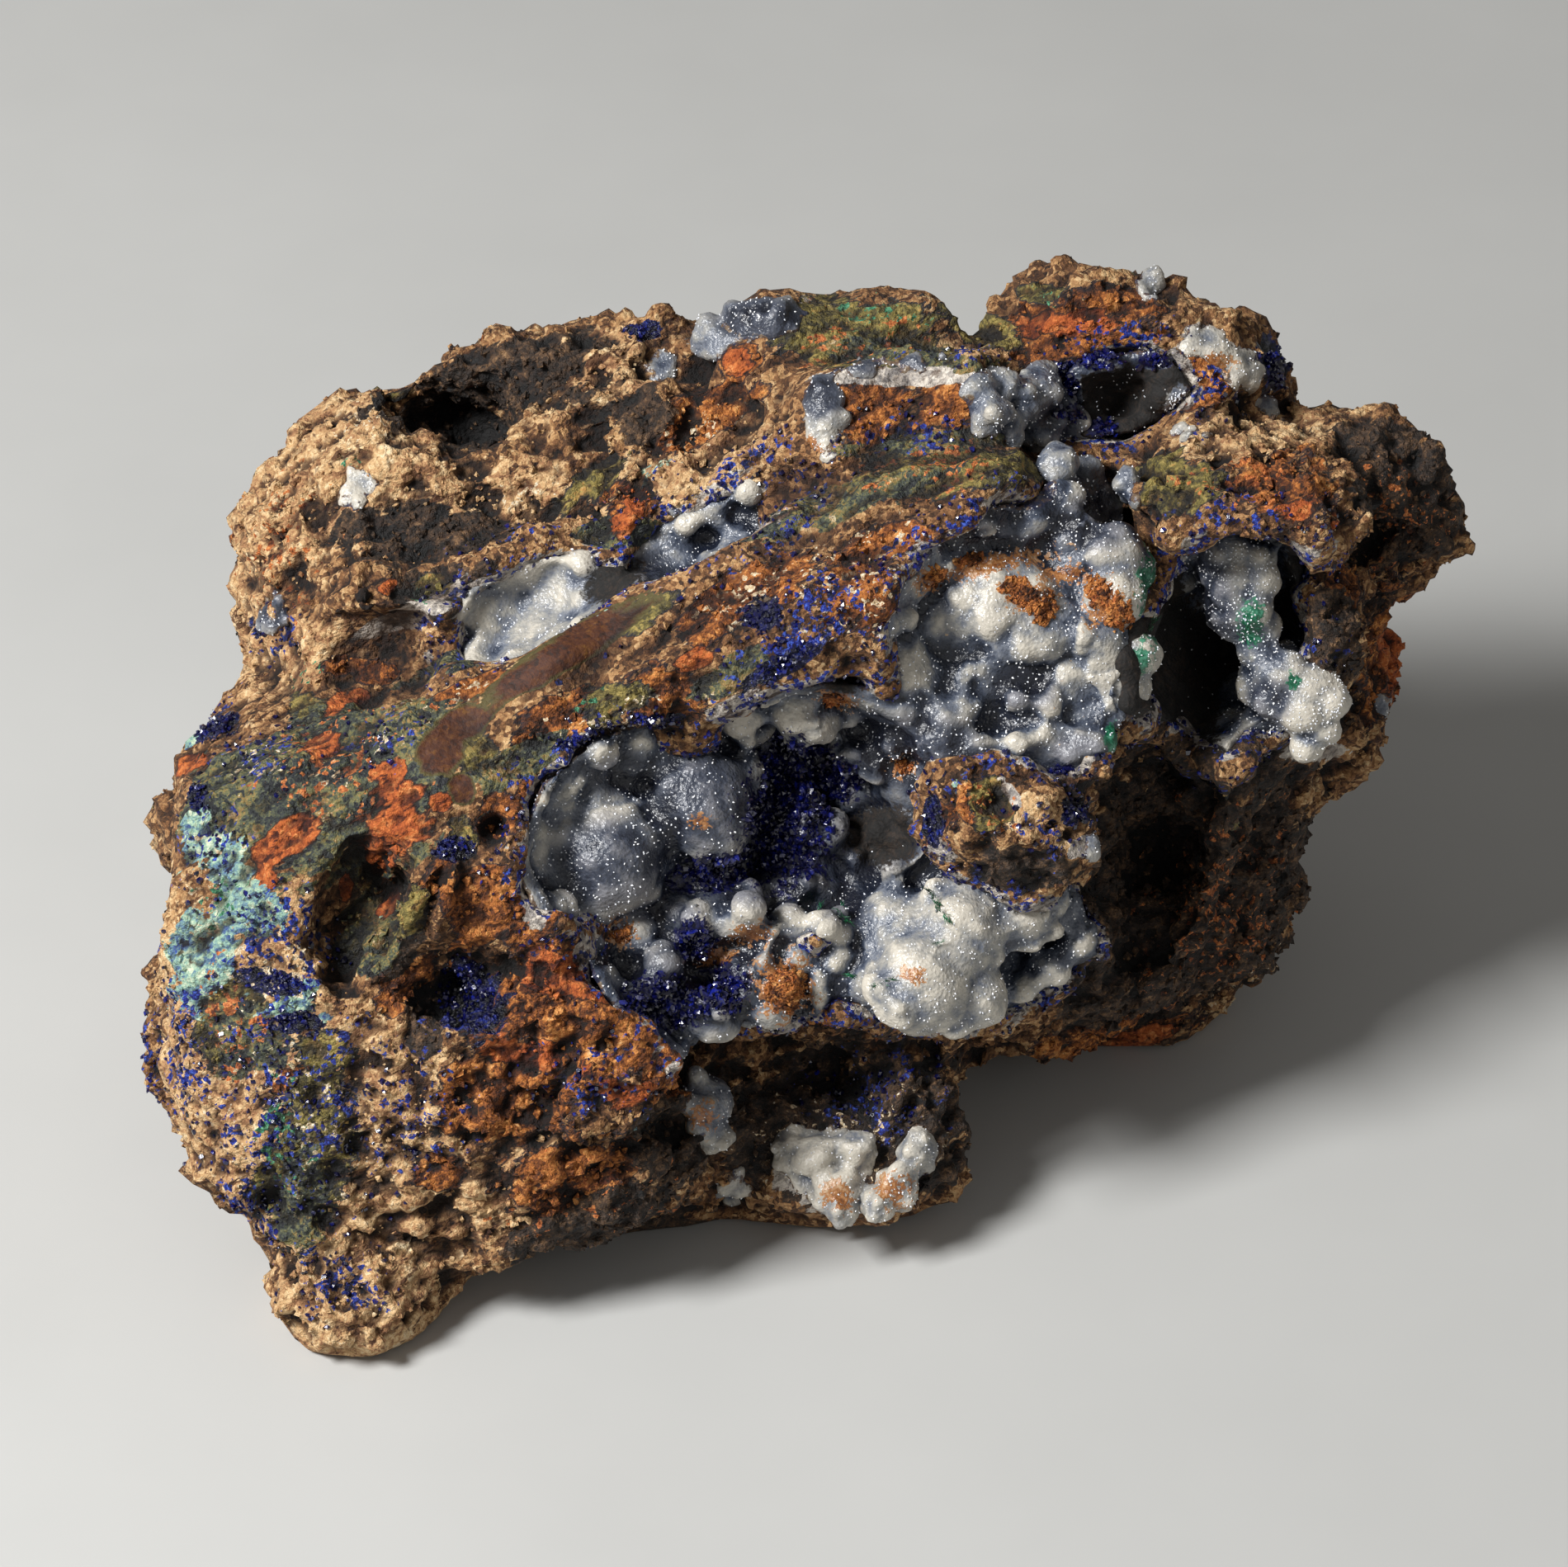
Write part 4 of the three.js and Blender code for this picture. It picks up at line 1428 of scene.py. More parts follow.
ROCK_PATCHES: Stains = {
    Tint.BUFF: (
        (-45, 31, 11, 9, 20), (-33, 27.5, 14, 3.4, 10), (-52, 20, 4.5, 10), (-12, 30, 10, 4, 25),
        (-47, 13.5, 6, 3, 20), (-21, 39.5, 9, 3.4, 20), (15.5, 41, 7, 2.2), (38.6, 33.4, 6.5, 1.8, -5),
        (41, 35.5, 8, 2, -10), (-47, -27, 10, 13, 10), (-57, -20, 3, 14, 10), (-41, -43.5, 10, 7),
        (-36, -27.5, 5, 8), (-22, -35, 12, 4, 10), (21.8, -1.2, 3.4, 2.4, -10), (-48.2, -12, 5, 6),
        (47.8, 17, 2, 3.2), (46.8, 12.8, 1.8, 2),
    ),
    Tint.OCHRE: (
        (-27, -26.6, 7, 4.4, -10), (-22, -33, 8, 3, 10), (-31, 10.9, 4, 1, 20), (-26.1, 13.1, 3.6, 1, 25),
        (-38.9, 12.4, 1.8, 1.5), (-41.9, 13.1, 2.6, 0.9, 10), (-28, -0.4, 2.2, 2.6), (-25.2, 1.2, 1.2, 2.8),
        (-25.2, -3.2, 1, 2.2), (-30.6, -9.4, 2.6, 4.6), (-28, -7.9, 2.2, 3), (-35.9, -15.8, 3.4, 2.1, 45),
        (-21, -18.6, 10, 6, -22), (-29, -25, 5, 3), (-12.6, -24.6, 3, 4), (-16, 27.6, 3.4, 3, 20),
        (-6.6, 40.9, 2.4, 2.2), (-46.6, -24.6, 3, 1.6), (-10, 35, 6, 2.6, 30), (6, 36, 4.6, 3.4),
        (13, 36.7, 3.4, 2.6), (8, 24.6, 5, 1.6, 12), (5, 19.2, 4.6, 3.8, -10), (-6, 19, 7, 3, 28),
        (-21.6, 8.3, 5.4, 2, 15), (-13, 9.8, 3.6, 3.4), (-24.6, -9, 3, 4), (-47, -32, 2, 5),
        (-38.4, -5.4, 1, 3.6, -30), (-35.6, -9, 1, 4.6, -25), (-33.2, -6, 1, 4, -20),
        (-31.6, -13, 1.2, 3, -10), (-37.8, -13.4, 1.6, 2.6, -20), (-33, -33, 3, 2), (-20, -36, 4, 2, 10),
        (24, 43, 8, 3.6), (28.5, 45.8, 4, 1.4, -8), (35.5, 39, 3.4, 3), (43.4, 29, 5, 3.4),
        (52.7, 15.8, 4, 8), (48.8, 20, 1.6, 2.4), (14.6, 0.8, 2.6, 3), (12, -3.4, 2, 1.6),
        (45, -11, 2.6, 7), (28, -20.6, 8, 2.2, 14), (0.6, -18.6, 2.6, 1.6), (52, 30, 3, 1, -20),
    ),
    Tint.ORANGE: (
        (-56.5, 4.1, 2.3, 1.1, 10), (-42.8, 9.4, 2.1, 1, 55), (-40.7, 10.3, 1.2, 0.9),
        (-43.9, 5.6, 2.1, 1.6, 45), (-38.7, 3.6, 1.4, 1), (-37, 3.8, 0.7, 1), (-36.6, 1.5, 2.7, 1.4, 10),
        (-46.9, -2.3, 2.1, 1.9, 30), (-49, -4.1, 1.7, 1.3), (-49.2, -6.4, 1.1, 1.5),
        (-37.4, -1.9, 3.3, 2.5, 25), (-38.9, -4.5, 1.8, 1.8), (-41.9, -6.8, 0.7, 1.7),
        (-37.7, -8.6, 2.1, 0.9, 60), (-33.6, 0.8, 1.3, 0.9), (-20.6, -15.6, 5, 2, -20),
        (-25, -22.6, 4, 1.6, -15), (-17, -26, 3, 1.4, 10), (24, 44, 5, 1.4), (-15.8, 28, 2.4, 2.2, 20),
        (44.6, 27, 3, 2), (-10, 13.6, 2, 1, 20), (-16.4, 26.4, 3, 2, 25), (-38, 20, 1, 1),
        (53.4, 14, 2.4, 4), (-6.6, 41, 1.6, 1.5), (30, -21, 4, 1, 14),
    ),
    # Dark goethite; the patches at (33.5, -7) and (38, 12), over the lower right wall and the cave's side,
    # also paint the shade that fills the cave
    Tint.GOETHITE: (
        (-35, 25.2, 8, 3, 6), (-28, 38.5, 11, 3.6, 14), (-31.4, 34.3, 7.5, 3.2, -8), (-32, 20, 6, 2.6),
        (-15, 35.6, 3, 2.4, 30), (-36.6, -12, 1.4, 5, -20), (-40.4, -8, 1.2, 4, -20), (-34.6, -19, 2, 3),
        (3.5, -28.5, 14, 7), (33.5, -7, 15, 16), (38, 12, 9, 14), (53.5, 27.8, 8, 7), (47.6, 12, 3, 9),
        (19.5, -5.6, 5, 2.4), (-18, -38, 11, 3.6, 12), (-11, -30, 6, 4),
    ),
    Tint.OLIVE: (
        (4.6, 43.4, 9, 3.4, -4), (16, 43.6, 4, 1.6, -20), (-45.4, 9, 1.7, 1.7), (-41.1, 1.9, 3, 2, 30),
        (-41.1, 7.9, 2, 0.8, 20), (-30.6, 5.6, 2, 2.2), (-36.2, -9.3, 1.8, 3), (-46, -31, 4, 9, -12),
        (-52.7, -20, 3, 5), (-26, 15.9, 4.6, 1.2, 16), (12.4, 30.6, 9, 2.4, 6), (33.6, 29.6, 4.2, 3),
        (21, 46.9, 2.8, 1), (-19, 30, 4, 1.4, 35), (16.6, 0.2, 2.4, 3), (-17.9, 7.5, 2, 1.8),
        (-33, 7, 3, 1.4, 30), (-15, 17.8, 4, 1.4, 32), (-34, 20, 1.8, 1.4), (-17, 9.8, 3.6, 1.6, 10),
        (-45.6, -1, 2, 2), (-31.4, -3, 1.4, 2.4), (-44, -22, 3, 2),
    ),
    Tint.SLATE: (
        (-42.6, 2, 12, 8, 22), (-40, -12, 3, 4), (-52.6, 0, 4, 6), (-31.4, 13.4, 6.5, 1.2, 20),
        (-51, -20, 4, 4), (3, 27.6, 9, 1.6, 20), (-27, 4, 5, 2, 20), (-45.4, -35, 3, 5, -10),
        (-16.6, 25, 4.6, 1.2), (9, 41, 9, 1.4, -8), (12, 33.4, 9, 1, 6), (-6, 12, 4, 2, 20),
    ),
    Tint.STREAK: (
        (-22.6, 13.8, 10.8, 1.8, 31.5), (-31.4, 7.6, 3, 1.7, 34), (-33.2, 5.2, 2.5, 2.2, 35),
        (-31.4, 1.8, 1.4, 1.6),
    ),
    Tint.MILKY: (
        (-5.6, 44, 5, 1.6, 16), (9, 39.2, 8, 0.8), (19.8, 37, 3.4, 2, -10), (38.4, 41, 4, 1.6, -30),
        (1.4, -33, 4, 3.4), (18.6, 1.4, 2, 0.6, -60), (25.4, -3.4, 2, 0.9, 30), (13, -4.4, 2, 0.6),
        (46, 5.4, 2.6, 1.2), (-36, 17.6, 5, 1.2, 20),
    ),
    Tint.POWDER: (
        (-52.7, -6, 3, 2.2, -30), (-56.1, -10.1, 1.6, 3.6), (-54.6, -14.4, 2.6, 4), (-55, -2.3, 1.3, 2.2),
        (-50.9, -9, 3.4, 1.8, -30), (-56.5, 6.4, 1.6, 0.9), (-46, -17.6, 3, 1.6, -20), (-51, -17, 2, 1.4),
    ),
    Tint.BLUE: (
        (-30.9, -16.5, 2.8, 3.4), (-49.4, 16.4, 1.6, 1), (42.6, 40.6, 1.6, 3), (-15, 43.4, 1.6, 0.8),
        (25, -0.2, 1.7, 1.8), (11.4, -1, 0.8, 2), (-2, 13.4, 3.4, 1.1, 30), (-20.6, 6.3, 3, 0.6, 20),
        (-14, 8, 4, 0.6, 5), (-4, 17.6, 2.4, 1.6), (23.4, 40, 1.2, 1), (-53.6, 7.4, 2.4, 1.2, 20),
        (-32.1, -3.8, 1.8, 1.4), (-48.2, -15.8, 3.6, 1, -15), (-47.1, -19.5, 3.2, 1), (-55.4, 1, 0.9, 1.6),
    ),
    Tint.PALE: (
        (-49.7, 3.9, 4, 3.4), (-38.8, 6.2, 4, 2.4, 20), (-43.7, 2.7, 4, 2.4, 25), (-48.2, -13.4, 6, 7),
        (-54, -8, 4, 8), (-40, 36, 6, 4, 14), (-25, 29, 5, 2, 15), (40, -16, 6, 3, 30), (3, -30, 12, 7),
        (4, 20, 12, 7, 20), (-18, 8, 9, 4, 14), (-47, -28, 10, 13, 10), (-30, 11, 8, 2.4, 25),
        (-6, 19, 8, 3.4, 28), (-37.4, 6.4, 2.6, 1.4, 20), (-10, 34, 7, 3, 30),
    ),
    Tint.RUST: (
        (-42, 4, 13, 9, 20), (4, 43, 10, 4), (40, 30, 9, 5), (-52, -20, 6, 9), (38, -10, 12, 14),
        (53, 27, 8, 7), (12, 31, 10, 4, 6), (-20, -35, 12, 5, 10), (16, 0, 4, 4), (-48, 24, 8, 10),
    ),
    Tint.AZURE: (
        (-60, -24, 4, 15, 8), (-50, -36, 8, 6, 30), (-49.7, 5, 7, 5), (-39, 6, 6, 3.4, 20),
        (-48.2, -14, 8, 9), (-47, -28, 13, 15, 10), (-36, -28, 7, 9), (-54, 10, 5, 3, 20),
        (2, 18, 10, 6, 20), (9, 34.5, 9, 3.4), (-3, 15, 8, 4, 25), (-48, 16, 4, 4), (6, -26, 10, 6),
        (-20, -25, 8, 4), (14, 42, 8, 2.4), (36, 38, 6, 5), (-43, -43, 7, 5), (22, -2, 6, 4),
        (-57, -22, 4, 14, 10), (-54, -3, 4, 8), (30, 42, 6, 3),
    ),
    Tint.GREEN: (
        (-41.4, 31.6, 1.6, 1.2), (-35.4, 19.8, 2, 1.4), (-46, 12, 3, 1.2, 20), (6, 45, 5, 2),
        (21.4, 46.4, 3.4, 1.4), (-53, -8, 3, 4), (30, 49, 1, 1), (-20, 9.4, 4, 1.2, 26), (-48, -30, 4, 8),
    ),
}


# The quartz in the hollows


@dataclass
class QuartzLining:
    """The quartz that lines one hollow, with the nodules on it."""

    node: str
    name: str
    cell: float
    seed: int
    buds: int
    bud_radii: Pair
    nodules: tuple[Ball, ...] = ()
    tints: Stains = field(default_factory=dict)
    pale_spots: Patches = ()
    smooth: Patches = ()
    softening: int = 2
    domes: tuple[Relief, ...] = (
        Relief(size=2.8, height=-0.7, kind="VORONOI", middle=0.3, group="rough"),
        Relief(size=1.1, height=-0.16, kind="VORONOI", middle=0.3, group="rough"),
        Relief(size=3.4, height=0.7, depth=1),
    )
    edge: float = 0.5
    edge_from: float = 0.35
    lip: float = 1.2
    lip_shade: float = 0.5
    margin: float = 0.35
    sink: Pair = (0.1, 0.5)
    gap_depth: float = 1.5
    gap_from: float = 1.02
    gap_width: float = 0.3
    gap_to: float = 2.2
    smooth_edge: float = 0.5
    smooth_most: float = 0.9
    pale_spot_share: float = 1.6
    crest_scales: Scales = ((14, 0.5), (60, 0.3))

    def build(self) -> Piece:
        """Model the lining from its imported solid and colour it.

        Returns:
            The finished lining.
        """
        lining = copy_of(self.node, self.name)
        join(lining, self.balls(lining))
        remesh(lining, self.cell, self.softening)
        if self.nodules:
            self.etch(lining)
        smooth = self.mask(lining, self.smooth)
        group_of(lining, "rough", 1.0 - filled(smooth, self.smooth_edge, self.smooth_most))
        for index, relief in enumerate(self.domes):
            relief.press(lining, f"domes_{index}")
        keep_in_box(lining)
        self.colour(lining)
        lining.vertex_groups.clear()
        return dress(lining, QUARTZ_MATERIAL, smooth=True)

    def mask(self, lining: Piece, patches: Sequence[Patch]) -> Array:
        """Return how far each vertex lies in any of some patches."""
        return patch_mask(FACE.coordinates(places_of(lining)), patches, WHOLE_TREE)

    def etch(self, lining: Piece) -> None:
        """Sink the quartz between the nodules, near them and on the side that shows.

        Args:
            lining: The lining, just remeshed.
        """
        places = places_of(lining)
        points = FACE.coordinates(places)
        share = np.full(len(points), np.inf)
        for *centre, radius in self.nodules:
            share = np.minimum(share, np.linalg.norm(points - centre, axis=1) / radius)
        depth = self.gap_depth * np.clip((share - self.gap_from) / self.gap_width, 0.0, 1.0)
        depth *= np.clip(self.gap_to - share, 0.0, 1.0)
        outward = np.clip(FACE.directions(normals_of(lining))[:, 2] * 2.0, 0.0, 1.0)
        move_to(lining, places - normals_of(lining) * (depth * outward)[:, None] * MM)

    def balls(self, lining: Piece) -> Piece:
        """Make the nodules read from the specimen and the small buds between them.

        Args:
            lining: The copy of the solid.

        Returns:
            The balls, as one mesh.
        """
        rng = np.random.default_rng(self.seed)
        skin = Skin(lining)
        places, normals, _ = skin.scatter(rng, self.buds, skin.facing(self.margin))
        spared = patch_mask(FACE.coordinates(places), self.smooth, WHOLE_TREE) >= 0.5
        clear = (distances(places, ROCK_TREE) > self.lip) & ~spared
        places, normals = places[clear], normals[clear]
        radii = rng.uniform(*self.bud_radii, len(places)) * MM
        places = places - normals * radii[:, None] * rng.uniform(*self.sink, (len(places), 1))
        if self.nodules:
            read = np.array(self.nodules)
            places = np.concatenate([places, FACE.worlds(read[:, :3])])
            radii = np.concatenate([radii, read[:, 3] * MM])
        return swarm_of_balls(f"{self.name}_balls", places, radii)

    def colour(self, lining: Piece) -> None:
        """Store how much of each stain covers every vertex, and how far it stands out, for the painted shade
        of the quartz.

        Args:
            lining: The lining in its final shape.
        """
        for tint in QUARTZ_TINTS:
            mask = self.mask(lining, self.tints.get(tint, ()))
            # Outside its pale spots a lining takes the dark goethite colour, which in the cave and the crown
            # hollow also paints the shade that fills them
            if tint is Tint.GOETHITE and self.pale_spots:
                bare = np.clip(1.0 - self.pale_spot_share * self.mask(lining, self.pale_spots), 0.0, 1.0)
                mask = np.maximum(mask, bare)
            store(lining, tint.value, mask)
        gap = distances(places_of(lining), ROCK_TREE)
        store(lining, Tint.CONTACT.value, np.clip(1.0 - (gap - self.edge_from) / self.edge, 0.0, 1.0))
        # Painted shade: the quartz next to the rock's lip is darkened through its crest level
        lip = np.clip(1.0 + self.lip_shade - gap / self.lip, 0.0, self.lip_shade)
        store(lining, CREST_SHADE, crest_level(lining, self.crest_scales) * (1.0 - lip))


QUARTZ_TINTS = (Tint.MILKY, Tint.SMOKY, Tint.OCHRE, Tint.GOETHITE, Tint.BLUE, Tint.GREEN)

# Nodules: x, w and t of the middle, then the radius
FRONT_NODULES: tuple[Ball, ...] = (
    (10.4, 22.4, 12.4, 4), (16.6, 19.2, 11.8, 4.2), (13.4, 17.8, 11.4, 4), (19.6, 18.2, 12, 3.8),
    (14, 24.4, 11.5, 2.6), (16.8, 25.4, 12, 2.9), (20.2, 26.1, 12.5, 2.2), (22.8, 27.4, 12, 2.1),
    (23.4, 24.4, 11, 2.5), (27.2, 22.8, 11.2, 3.1), (12.6, 19, 11.5, 2.9), (16.2, 17.5, 13, 3.2),
    (19.9, 15.6, 13, 2.9), (8.8, 13.6, 11, 1.9), (11.5, 10.7, 10, 3.1), (15, 9.7, 9.5, 3.1),
    (18.4, 12.9, 11, 2.7), (23.2, 20.4, 10.5, 3), (27.3, 19, 12, 3.1), (29.9, 14, 11, 2.1),
    (25.8, 15.2, 11.5, 2.9), (23.1, 11.5, 10.5, 2.8), (20.1, 8.8, 9.5, 3), (24.8, 8, 9.5, 3.1),
    (21.4, 5.1, 9, 3.3), (17.3, 6.1, 8, 2.7), (28.3, 10.7, 10, 2.5), (29, 21.4, 10, 2.2), (7, 6, 5, 3.7),
    (9.4, 2.6, 6, 2.7), (4, 8.4, 4, 3.1), (7.4, 10.3, 6, 2.7), (15, 5.2, 6, 2.5), (4.6, 1.5, 1, 3),
    (-7, 11.1, 12, 1.7), (-5.8, 8.4, 12, 2.3), (-5.4, 6.5, 11, 1.4), (-1.2, 9.6, 11.5, 2.9),
    (0.6, 7.7, 11, 2.3), (1.8, 10.5, 11, 1.9), (-18, -4.6, 12.6, 5.2), (-9.8, 0.4, 10.4, 5),
    (-8.6, -1.4, 10.8, 3.8), (-12, 2.8, 9.4, 4), (-7, 2.6, 8.6, 3.4), (-13, -2.6, 8.6, 3.6),
    (-13.2, -7.8, 7, 2.5), (-16.2, 3.7, 7, 3.3), (-22.9, -7.7, 10, 2.1), (-20.2, -10.3, 10, 2.4),
    (-16.1, -11.2, 10, 2.9), (-11.7, -9.7, 9, 2.5), (-8.2, -10.5, 7.5, 2.1), (-1.7, -10.6, 9, 2.1),
    (-1.4, -13.3, 9, 1.8), (2, -11, 9, 1.9), (2.4, -13.3, 9, 1.5), (-17.5, -13.6, 9, 2.1),
    (-13.8, -16.2, 9.5, 2.7), (-10.4, -17.8, 10, 2.5), (-8.1, -19, 10, 2.1), (-5.6, -15.5, 9.5, 2.5),
    (-3.4, -17.8, 10, 2.2), (10.3, -15.9, 9, 4.6), (8, -10.7, 7, 3.7), (14.1, -9.8, 7, 4.3),
    (18.8, -9.3, 7, 3.3), (11.3, -6.1, 5, 2.5), (15.1, -16.7, 8, 3.1), (21.8, -7.8, 7, 1.8),
    (6.8, -15.5, 8, 3), (12.7, -12.5, 9, 3.7), (-2.8, -7.6, 4.5, 3), (0.5, -7, 4.5, 2.5),
    (-23, 1.2, 14, 3.6), (-22.4, -2, 13.4, 3.6), (-20.4, 3.6, 13, 3.8), (-19, 1.6, 11, 4),
    (-16.4, 5.2, 12, 3.6), (-13, 5.8, 11, 3.4), (-15.4, 2.4, 9.4, 3.6), (-23.2, -6, 14, 3),
    (-21.6, -9.4, 13.4, 2.8), (-24.8, -2.4, 15.6, 2.8), (-24.6, 1.8, 15.8, 2.6), (-22.6, 4.8, 15.6, 2.6),
    (-19, 6, 15, 2.4), (-15.4, 6.6, 14, 2.2), (-24.4, -5.6, 15.4, 2.2), (-23.2, -8.6, 15, 2),
    (-21.4, 2, 14.4, 2.2), (-22.8, -0.6, 15.2, 1.8), (-20.6, -11.6, 14, 2.4),
)

CAVE_NODULES: tuple[Ball, ...] = (
    (36.4, 24, 6.4, 1.6), (38.6, 23.4, 6.6, 2.2), (40.6, 22.8, 7, 1.8), (40.6, 20.6, 6.6, 2),
    (38.4, 20.4, 6, 2.6), (39.6, 18, 5.6, 2.5), (41, 16.4, 4.6, 1.9), (40.6, 14.6, 3.2, 2),
    (41.8, 13.2, 3.6, 2), (43.4, 12.2, 4, 2.3), (45.6, 11.2, 4.2, 2.2), (47.4, 9.8, 4.2, 1.9),
    (44.6, 9, 3.6, 2.5), (42, 9.6, 3, 2), (46.6, 7.4, 3.2, 1.7), (45.2, 5.6, 2.4, 1.5),
    (40.4, 10.6, 2.2, 1.3),
)

FRONT_TINTS: Stains = {
    Tint.MILKY: (
        (12, -13.4, 6, 5.2), (18.8, -9.6, 3.4, 2.4), (10.4, 23.2, 3, 2.6), (17, 19, 5, 3, -10),
        (27.4, 19, 2.4, 3), (-20, -0.4, 5, 1.4, 10), (-24.4, -2, 2.4, 7), (-20, 5.4, 4, 1.6),
        (-13.4, -9.4, 8, 1.8), (-24, 2.4, 3, 2.4), (0, 9.6, 3, 2.4), (-6.4, 9.4, 2, 2.6),
        (0.6, -12, 3.4, 2.4), (21, 7, 4, 3), (27, 12, 3, 3), (9, 13, 2, 1.6),
    ),
    # The patch at (6.3, -2.5) paints the shadow in the deep opening between the knob and the druse
    Tint.SMOKY: (
        (-17.8, -5, 6, 5), (-17, 3.4, 4, 2, 10), (-9.4, 0.6, 6, 5.4), (9.7, 5.4, 7.5, 4.4),
        (19.6, 10.9, 3.4, 2.4), (24.8, 5, 3.4, 2.4), (-4.8, -6.8, 8, 3), (6.3, -2.5, 5, 4.4),
        (14, 27, 4, 3), (-10.4, -15.7, 8, 5.4), (2, 12, 3, 3), (26, 26, 4, 3), (-13, -9.4, 4, 1.4),
        (3.4, -8.6, 2.4, 2.4), (29.4, 24.4, 3, 3),
    ),
    Tint.OCHRE: (
        (20.1, 19.2, 2.8, 1.6, -20), (27.2, 18.6, 2, 2.8), (11.2, 20.9, 1.4, 1.4), (8.6, 3.7, 1.2, 1),
        (2.8, 10, 1.6, 1.2), (-4, 12, 2.8, 1.4), (-2, -16.5, 3, 3.4), (9.7, -15.2, 1.3, 0.8),
        (-17, -11.2, 1.6, 1.2), (-9.8, -1.2, 1.1, 0.8), (16, 22, 6, 1, 12), (-5, -11.4, 2, 1),
        (24, 21.4, 3, 1), (-8.4, -13.4, 2.4, 1),
    ),
    # The patch at (7, -2.6) paints the same shadow dark
    Tint.GOETHITE: ((7, -2.6, 3.4, 3), (3.4, 11.8, 2, 1.6)),
    Tint.BLUE: (
        (-2, -1.7, 4.6, 5.6), (-8.6, -5.8, 4, 1.8, 10), (-1, 4, 3.8, 3.4), (22.2, 2.6, 5, 1.2),
        (-10.2, -11.8, 1.8, 2), (-13, -17.6, 4.4, 2.6), (-7.6, -16.4, 2.4, 2.4), (3, 3, 2.4, 2.4),
    ),
    Tint.GREEN: ((31, 19.6, 1.4, 6), (29.8, 13.4, 1.6, 1.6), (27.6, 6.6, 0.8, 1.6)),
}


@dataclass
class QuartzLumps:
    """Lumpy quartz that has grown over the rock outside the hollows.

    Small balls cover the patches. The numbers of a dome are x, w, its height over the rock and its radius.
    """

    name: str = "quartz_lumps"
    cell: float = 0.42
    softening: int = 3
    seed: int = 61
    count: int = 620
    radii: Pair = (0.4, 1.3)
    spread: Pair = (0.5, 1.0)
    sink: float = 0.5
    reach: float = 3.0
    margin: float = 0.3
    inside_from: float = 0.52
    buds: int = 16
    bud_places: Pair = (0.6, 1.0)
    bud_radii: Pair = (0.22, 0.45)
    core: float = 0.9
    contact: Pair = (0.8, 1.6)
    crest_scales: Scales = ((16, 0.5),)
    reliefs: tuple[Relief, ...] = (
        Relief(size=3.0, height=1.0, depth=2),
        Relief(size=1.3, height=-0.4, kind="VORONOI"),
    )
    patches: Patches = (
        (1.2, -31.8, 5, 3.4), (2.8, -35, 2.4, 2.8), (9.8, -31.4, 1.8, 2.6, -20), (7.6, -35, 2.6, 2, 30),
        (-9.2, -27, 2.4, 3.4), (-6.6, -34.6, 1.7, 2.2), (-4, 44.2, 4.4, 2, 10), (-9.4, 42.4, 2.2, 1.8),
        (1.8, 35.2, 2, 4, 8), (8, 40.4, 6, 0.7, 4), (17.2, 36.8, 3.8, 3.4), (21.6, 36.4, 3.4, 3),
        (23.6, 34.6, 2.4, 1.8), (22.6, 29.6, 1.6, 3.2, -20), (29.2, 28.6, 1.1, 3.2),
        (36.4, 42, 3, 2.2, -30), (39.6, 39.6, 2.4, 2.4), (41.4, 37, 1.5, 2), (31.2, 47.6, 1.5, 1.8),
        (-41, 29.2, 1.9, 2.1), (-48.6, 17.8, 1.7, 1.9), (-13.2, 40, 1.4, 1.8), (-11.8, 26.4, 1.5, 3, -15),
        (-14.2, 23.6, 3, 1, 10), (26, -3.8, 1.2, 1.2), (34.8, 34.4, 2.6, 0.8), (52.6, 9.4, 1, 1.2),
    )
    domes: tuple[Ball, ...] = (
        (-9.4, -26.6, 0.6, 2.9), (-9, -29.4, 0.6, 2.2), (1.2, -31.6, 0.4, 2.2), (4.4, -30.8, 0.4, 1.8),
        (-1.4, -31.6, 0.2, 1.7), (2.4, -34.4, 0.3, 2.1), (3, -36.4, 0.2, 1.6), (9.8, -31, 0.2, 1.7),
        (8.4, -34, 0.3, 1.9), (6.6, -36, 0.2, 1.6), (19.6, 36.6, 5.2, 2.6), (21.6, 36, 2.6, 2.6),
        (16.6, 36.2, -0.4, 2), (15.6, 38.4, -0.8, 1.6), (18, 34.2, 0.6, 2), (17.6, 38.6, 0.4, 1.8),
        (20.8, 38.2, 3.6, 2.2), (23.6, 34.8, 0.4, 2.2), (20.6, 34.6, 3, 2.4), (2, 34.6, -0.6, 1.8),
        (1.6, 37.4, -0.8, 1.9), (-5, 44.4, -1.2, 2.2), (-2.2, 44.6, -1.2, 2), (-8.6, 43, -1, 1.9),
        (22.6, 31, 2.4, 2.2), (23.6, 28.6, 2, 2), (29, 29.6, 0, 1.4), (-11.6, 27.8, 0, 1.4),
        (-11.6, 25.2, 0.2, 1.5), (-13.6, 23.4, 0, 1.2), (25, 30, -0.4, 2.4), (26.4, 27.6, -0.4, 2.4),
        (24.8, 26.6, 1.4, 2.2),
    )
    tints: Stains = field(
        default_factory=lambda: {
            Tint.MILKY: ((3, -33, 8, 5), (36.6, 41, 7, 6), (-41, 29, 3, 3), (2, 33, 2.4, 2.4)),
            Tint.OCHRE: (
                (3, -35.6, 1.6, 1.6), (8, -34.6, 2, 1.6, 30), (-9.4, -28, 1.4, 1.4), (36.6, 40.6, 2, 1),
                (0.4, 33, 1, 1),
            ),
            Tint.SMOKY: (
                (-4, 44.4, 5, 2.6), (21.4, 36.4, 4.4, 3), (1.2, 37.4, 2.4, 2.4), (8, 40.4, 6, 1, 4),
                (-48.4, 18, 2, 2), (25.6, 28.6, 3, 3),
            ),
            Tint.BLUE: ((23.6, 36, 1.6, 1), (19.4, 38.8, 1.2, 0.8)),
        }
    )

